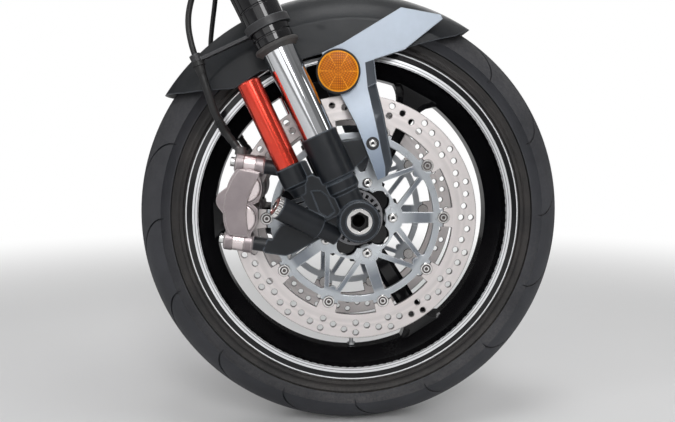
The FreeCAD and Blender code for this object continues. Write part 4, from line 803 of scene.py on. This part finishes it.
def routeMesh(route):                           # the mesh of a route that isn't kept itself
    mesh = bpy.data.meshes.new_from_object(route)
    bpy.data.objects.remove(route)
    return mesh


def reachOf(line, up):                          # how far along the line it comes to this height up the leg
    passed = 0
    for here, there in zip(line, line[1:]):
        low, high = upTheLeg(here), upTheLeg(there)
        if low <= up <= high:
            return passed + (there - here).length * (up - low) / (high - low)
        passed += (there - here).length
    return passed


def placeAlong(line, distance):                 # a place on the line, its Z along it
    for here, there in zip(line, line[1:]):
        run = there - here
        if distance <= run.length:
            return aimed(*fromAxle(here + run * (distance / run.length)), run)
        distance -= run.length


def makeHose(name, side):                       # a free cord, with its sleeve, ribs, grommet and crimp
    look = {"long": 364.4, "radius": 3.75, "sleeve": 5.25, "sleeveFrom": 161, "sleeveTo": 251,
            "ribsFrom": 173, "ribs": 8, "rib": 6.3, "pitch": 2.6, "grommetFrom": 250, "grommet": 8,
            "tall": 17, "crimp": 5.4, "crimpLong": 9}
    mesh = routeMesh(makeRoute("hoseLine", side, 0))
    line = [vert.co.copy() for vert in mesh.vertices]
    length = sum((there - here).length for here, there in zip(line, line[1:]))
    bpy.data.meshes.remove(mesh)

    cover = makeRoute("hoseSleeve", side, look["sleeve"])
    cover.data.bevel_factor_mapping_start = cover.data.bevel_factor_mapping_end = "SPLINE"
    cover.data.bevel_factor_start = reachOf(line, look["sleeveFrom"]) / length
    cover.data.bevel_factor_end = reachOf(line, look["sleeveTo"]) / length
    mesh = routeMesh(cover)
    sleeve = bmesh.new()
    sleeve.from_mesh(mesh)
    bmesh.ops.remove_doubles(sleeve, verts=sleeve.verts, dist=1e-6)
    bmesh.ops.recalc_face_normals(sleeve, faces=sleeve.faces)
    bpy.data.meshes.remove(mesh)

    inner, rib, wide, tall = look["radius"], look["rib"], look["grommet"], look["tall"]
    ring = lathe([(inner, 0), (rib - 0.4, 0), (rib, 0.4), (rib, 1.1), (rib - 0.4, 1.5), (inner, 1.5),
                  (inner, 0)], 32)
    grommet = lathe([(inner, 0), (look["sleeve"] + 0.3, 0), (wide - 1.4, tall * 0.5),
                     (wide - 1.4, tall * 0.62), (wide, tall * 0.66), (wide, tall - 0.6), (wide - 0.6, tall),
                     (inner, tall), (inner, 0)], 32)
    crimp = lathe([(inner, 0), (look["crimp"], 0), (look["crimp"], look["crimpLong"] * 0.6),
                   (inner + 0.5, look["crimpLong"]), (inner, look["crimpLong"]), (inner, 0)], 32)
    first = reachOf(line, look["ribsFrom"])
    rings = [placeAlong(line, first + look["pitch"] * mm * number) for number in range(look["ribs"])]
    shape = gather([(sleeve, asIs), (ring, rings), (crimp, [placeAlong(line, 0)]),
                    (grommet, [placeAlong(line, reachOf(line, look["grommetFrom"]))])])
    node = "brake_hose_" + name
    covers = finishPiece("hoseCovers_" + name, shape, node, "hoseRubber", replaces=False, smooth=30)

    hose = makeRoute("brakeHose_" + name, side, look["radius"])
    hose.data.materials.append(materials["hoseRubber"])
    bpy.context.scene.collection.objects.link(hose)
    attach(hose, "fork")
    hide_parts(node)
    print("hose on the", name, "measures", round(length / mm, 1), "mm")


def makeBobbins():
    look = {"count": 10, "circle": 119.5, "pin": 2.4, "ringFrom": 3.95, "ringTo": 5.9}
    bobbin = lathe([(0, -4), (5, -4), (7.2, -4), (8, -3.3), (8, 3.3), (7.4, 4), (6.0, 4), (5.5, 3.3),
                    (4.2, 3.1), (3.9, 3.8), (look["pin"], 3.8), (look["pin"] - 0.3, 1.6), (0, 1.6)], 32)

    # the sunk ring and the hole in the middle take the darker steel, as painted shade in the hollows
    def sunk(centre, normal):
        radius = hypot(centre.x, centre.y)
        return look["ringFrom"] < radius < look["ringTo"] or radius < look["pin"]
    paint(bobbin, sunk)
    shape = gather([(bobbin, onCircle(look["count"], look["circle"], discHalf))])
    finishPiece("bobbins_turned", shape, "disc_bobbins", ("brightAlloy", "shadedSteel"))


def boltHead(radius, height, socket):           # a round head with a hexagon socket, its seat at height 0
    floor = height * 0.4
    head = lathe([(0, 0), (radius * 0.95, 0), (radius, height * 0.12), (radius * 0.97, height * 0.5),
                  (radius * 0.8, height * 0.88), (radius * 0.66, height), (socket + 0.5, height),
                  (socket, height - 0.3), (socket, floor), (0, floor)], 24)
    makeHexagon(head, socket)
    # the socket takes the second finish, black, as painted shade
    paint(head, lambda centre, normal: hypot(centre.x, centre.y) < socket and centre.z < height * 0.46)
    return head


def makeCarrierBolts():
    look = {"count": 5, "circle": 50, "head": 7, "height": 4, "socket": 2.7, "face": 72.5}
    head = boltHead(look["head"], look["height"], look["socket"])
    shape = gather([(head, onCircle(look["count"], look["circle"], look["face"]))])
    finishPiece("carrierBolts_socketed", shape, "carrier_bolts", ("brightAlloy", "deepBlack"))


def makeMudguardBolts():
    look = {"head": 5.5, "height": 3, "socket": 2.3, "recessShadeRing": 8.5, "ahead": 59, "up": 82, "face": 103}
    # a thin black ring round each head: painted shade of the recess the bolt sits in
    recessShadeRing = lathe([(5, 0), (look["recessShadeRing"], 0), (look["recessShadeRing"] - 0.3, 0.6), (5, 0.6)], 40)
    paint(recessShadeRing)
    places = onBothLegs(look["ahead"], look["up"], look["face"])
    head = boltHead(look["head"], look["height"], look["socket"])
    finishPiece("mudguardBolts_shadeRinged", gather([(head, places), (recessShadeRing, places)]), "mudguard_bolts",
                ("brightAlloy", "deepBlack"))


def makeAdjusterCaps():
    look = {"ring": 14, "height": 6, "teeth": 24, "well": 11.2, "screw": 5.6, "length": 86, "slope": 28.4,
            "out": 15, "root": (-28, 105, -21)}
    ring, well, screw, steps = look["ring"], look["well"], look["screw"], look["teeth"] * 4
    cap = lathe([(0, 0), (13.2, 0), (ring, 0.5), (ring, 5), (13.2, look["height"]),
                 (well + 0.4, look["height"]), (well, 5.4), (well, 4.1), (screw + 1.2, 4.1), (screw, 4.4),
                 (screw, 6.4), (screw - 0.5, 6.9), (1.1, 6.9), (1.1, 5.2), (0, 5.2)], steps)
    for vert in cap.verts:                      # knurl of the ring
        if hypot(vert.co.x, vert.co.y) > ring - 0.1:
            step = round(atan2(vert.co.y, vert.co.x) / (tau / steps)) % 4
            vert.co.xy *= 1 if step in (0, 1) else 0.93
    paint(cap, lambda centre, normal: hypot(centre.x, centre.y) < well and centre.z < 4.3)
    slope, out = radians(look["slope"]), radians(look["out"])
    x, y, z = look["root"]
    places = []
    for name, side in sides:
        direction = Vector((-cos(slope) * cos(out), side * sin(out), sin(slope) * cos(out)))
        places.append(aimed(*(Vector((x, side * y, z)) + direction * look["length"]), direction))
    finishPiece("adjusterCaps_knurled", gather([(cap, places)]), "damping_adjusters",
                ("brightAlloy", "redBrown"), smooth=25)


def makeReflectors():
    look = {"rim": 29, "lens": 26.6, "face": 83}
    rim, glass = look["rim"], look["lens"]
    body = lathe([(0, 0), (rim - 0.8, 0), (rim, 0.8), (rim, 7), (rim - 0.6, 7.8), (27.4, 8), (glass, 7.5),
                  (glass, 6), (0, 6)], 72)
    lens = lathe([(0, 6.2), (glass - 0.1, 6.2), (glass - 0.1, 6.9), (25.6, 7.4), (18, 7.7), (0, 7.9)], 72)
    paint(lens)
    places = onBothLegs(*reflectorSpot, look["face"])
    finishPiece("reflectors_lensed", gather([(body, places), (lens, places)]), "reflectors",
                ("deepBlack", "reflectorLens"), smooth=40)


def makeValve():
    look = {"nut": 5.8, "stem": 2.9, "cap": 3.9, "barrel": 195}
    nut, stem, cap = look["nut"], look["stem"], look["cap"]
    shape = lathe([(0, 0), (nut, 0), (nut, 3.6), (stem + 0.6, 4.2), (stem, 5), (stem, 17), (cap, 17.4),
                   (cap, 31), (cap - 0.8, 33), (2, 34), (0, 34)], 24)
    makeHexagon(shape, nut)
    finishPiece("valve_capped", shape, "tyre_valve", "turnedAlloy",
                place=aimed(0, 0, -look["barrel"], (0, 0, 1)), smooth=30)


makeTyre()
makeLugBarrels()
for name, side in sides:
    makeHose(name, side)
makeBobbins()
makeCarrierBolts()
makeMudguardBolts()
makeAdjusterCaps()
makeReflectors()
makeValve()
print("pieces modelled")


# Floor, light and camera

def makeStage():
    look = {"floor": (0.82, 0.82, 0.82), "drift": (0.80, 0.80, 0.805), "size": 30.0,
            "drop": solidBounds[0][2], "clear": 0.9, "white": 2.6}
    shape = bmesh.new()
    bmesh.ops.create_grid(shape, x_segments=1, y_segments=1, size=look["size"])
    bmesh.ops.translate(shape, verts=shape.verts, vec=(0, 0, look["drop"]))
    floor = inScene("floor", asMesh("floor", shape))
    material, tree, bsdf = newMaterial("floorPale", Roughness=0.8)
    wear = useGroup(tree, surfaceGroup, Scale=0.8, Grain=200.0)
    feed(tree, bsdf, Base_Color=blend(tree, wear["Mottle"], look["floor"], look["drift"]))
    # Far from the wheel the floor runs out into the white backdrop
    place = addNode(tree, "ShaderNodeTexCoord").outputs["Object"]
    away = addNode(tree, "ShaderNodeVectorMath", {0: place, 1: (axle.x, axle.y, look["drop"])},
                   operation="DISTANCE")
    far = stretch(tree, away.outputs["Value"], look["clear"], look["white"], how="SMOOTHSTEP")
    path = addNode(tree, "ShaderNodeLightPath").outputs
    seen = maths(tree, "MAXIMUM", path["Is Camera Ray"], path["Is Transmission Ray"])
    white = addNode(tree, "ShaderNodeEmission", {"Color": (1, 1, 1, 1), "Strength": 1.0}).outputs[0]
    mixed = addNode(tree, "ShaderNodeMixShader", {0: times(tree, far, seen), 1: bsdf.outputs[0], 2: white})
    feed(tree, tree.nodes["Material Output"], Surface=mixed.outputs[0])
    floor.data.materials.append(material)


def makeLight():
    # Lamps: place, width, height, watts; all look at the wheel
    lamps = {"frontLamp": ((0.5, -2.5, 1.0), 0.8, 1.6, 30), "fillLamp": ((-0.9, -2.7, 0.1), 1.8, 1.2, 7),
             "leftLamp": ((-2.3, -1.5, 0.7), 0.5, 1.8, 10), "backLamp": ((0.6, 2.6, 1.4), 2.0, 1.4, 14),
             "topLamp": ((0.3, -0.5, 2.8), 1.4, 1.0, 24), "aheadLamp": ((2.8, -0.9, 0.3), 0.5, 1.8, 7)}
    for name, (place, width, height, watts) in lamps.items():
        lamp = bpy.data.lights.new(name, "AREA")
        lamp.shape, lamp.size, lamp.size_y, lamp.energy = "RECTANGLE", width, height, watts
        made = inScene(name, lamp)
        made.location = place
        made.rotation_euler = (axle - Vector(place)).to_track_quat("-Z", "Y").to_euler()


def makeWorld():
    # Strength round the room, from behind the wheel through ahead of it: dark gaps between pale walls
    look = {"walls": [(0.0, 0.45), (0.133, 0.45), (0.144, 0.04), (0.165, 0.04), (0.178, 0.32),
                      (0.215, 0.32), (0.225, 0.42), (0.32, 0.42), (0.34, 0.20), (0.40, 0.20),
                      (0.42, 0.03), (0.57, 0.03), (0.585, 0.45), (0.605, 0.45), (0.62, 0.05),
                      (0.75, 0.05), (0.93, 0.05), (0.955, 0.45), (1.0, 0.45)],
            "ceiling": (0.40, 0.40, 0.40), "ground": (0.22, 0.22, 0.22)}
    world = bpy.data.worlds.new("studio")
    bpy.context.scene.world = world
    world.use_nodes = True
    tree = world.node_tree
    seen = tree.nodes["Background"]
    seen.inputs["Color"].default_value = (1, 1, 1, 1)
    direction = addNode(tree, "ShaderNodeSeparateXYZ", {
        0: addNode(tree, "ShaderNodeTexCoord").outputs["Generated"]}).outputs
    share = stretch(tree, maths(tree, "ARCTAN2", direction["Y"], direction["X"]), -pi, pi)
    ceiling = stretch(tree, direction["Z"], 0.35, 0.75, how="SMOOTHSTEP")
    above = stretch(tree, direction["Z"], -0.25, -0.02, how="SMOOTHSTEP")
    room = blend(tree, ceiling, greyRamp(tree, share, look["walls"]), look["ceiling"])
    room = blend(tree, above, look["ground"], room)
    toCamera = addNode(tree, "ShaderNodeLightPath").outputs["Is Camera Ray"]
    feed(tree, seen, Strength=maths(tree, "MAXIMUM", firstChannel(tree, room), toCamera))


def makeCamera():
    look = {"place": (-77.5, -898.7, 76.8), "yaw": -3.65, "pitch": -4.63, "roll": 0.05, "pixels": 617.6,
            "width": 675}
    turn = (Matrix.Rotation(radians(look["yaw"]), 4, "Z") @ Matrix.Rotation(radians(look["pitch"]), 4, "X")
            @ Matrix.Rotation(radians(look["roll"]), 4, "Y"))
    data = bpy.data.cameras.new("camera")
    data.sensor_fit = "HORIZONTAL"
    data.sensor_width = 36
    data.lens = look["pixels"] / look["width"] * data.sensor_width
    data.clip_start, data.clip_end = 0.05, 60
    made = inScene("camera", data)
    made.matrix_world = (Matrix.Translation(axle + Vector(look["place"]) * mm) @ turn
                         @ Matrix.Rotation(pi / 2, 4, "X"))
    bpy.context.scene.camera = made


makeStage()
makeLight()
makeWorld()
makeCamera()
bpy.context.scene.view_settings.view_transform = "Standard"
print("stage, light and camera set")
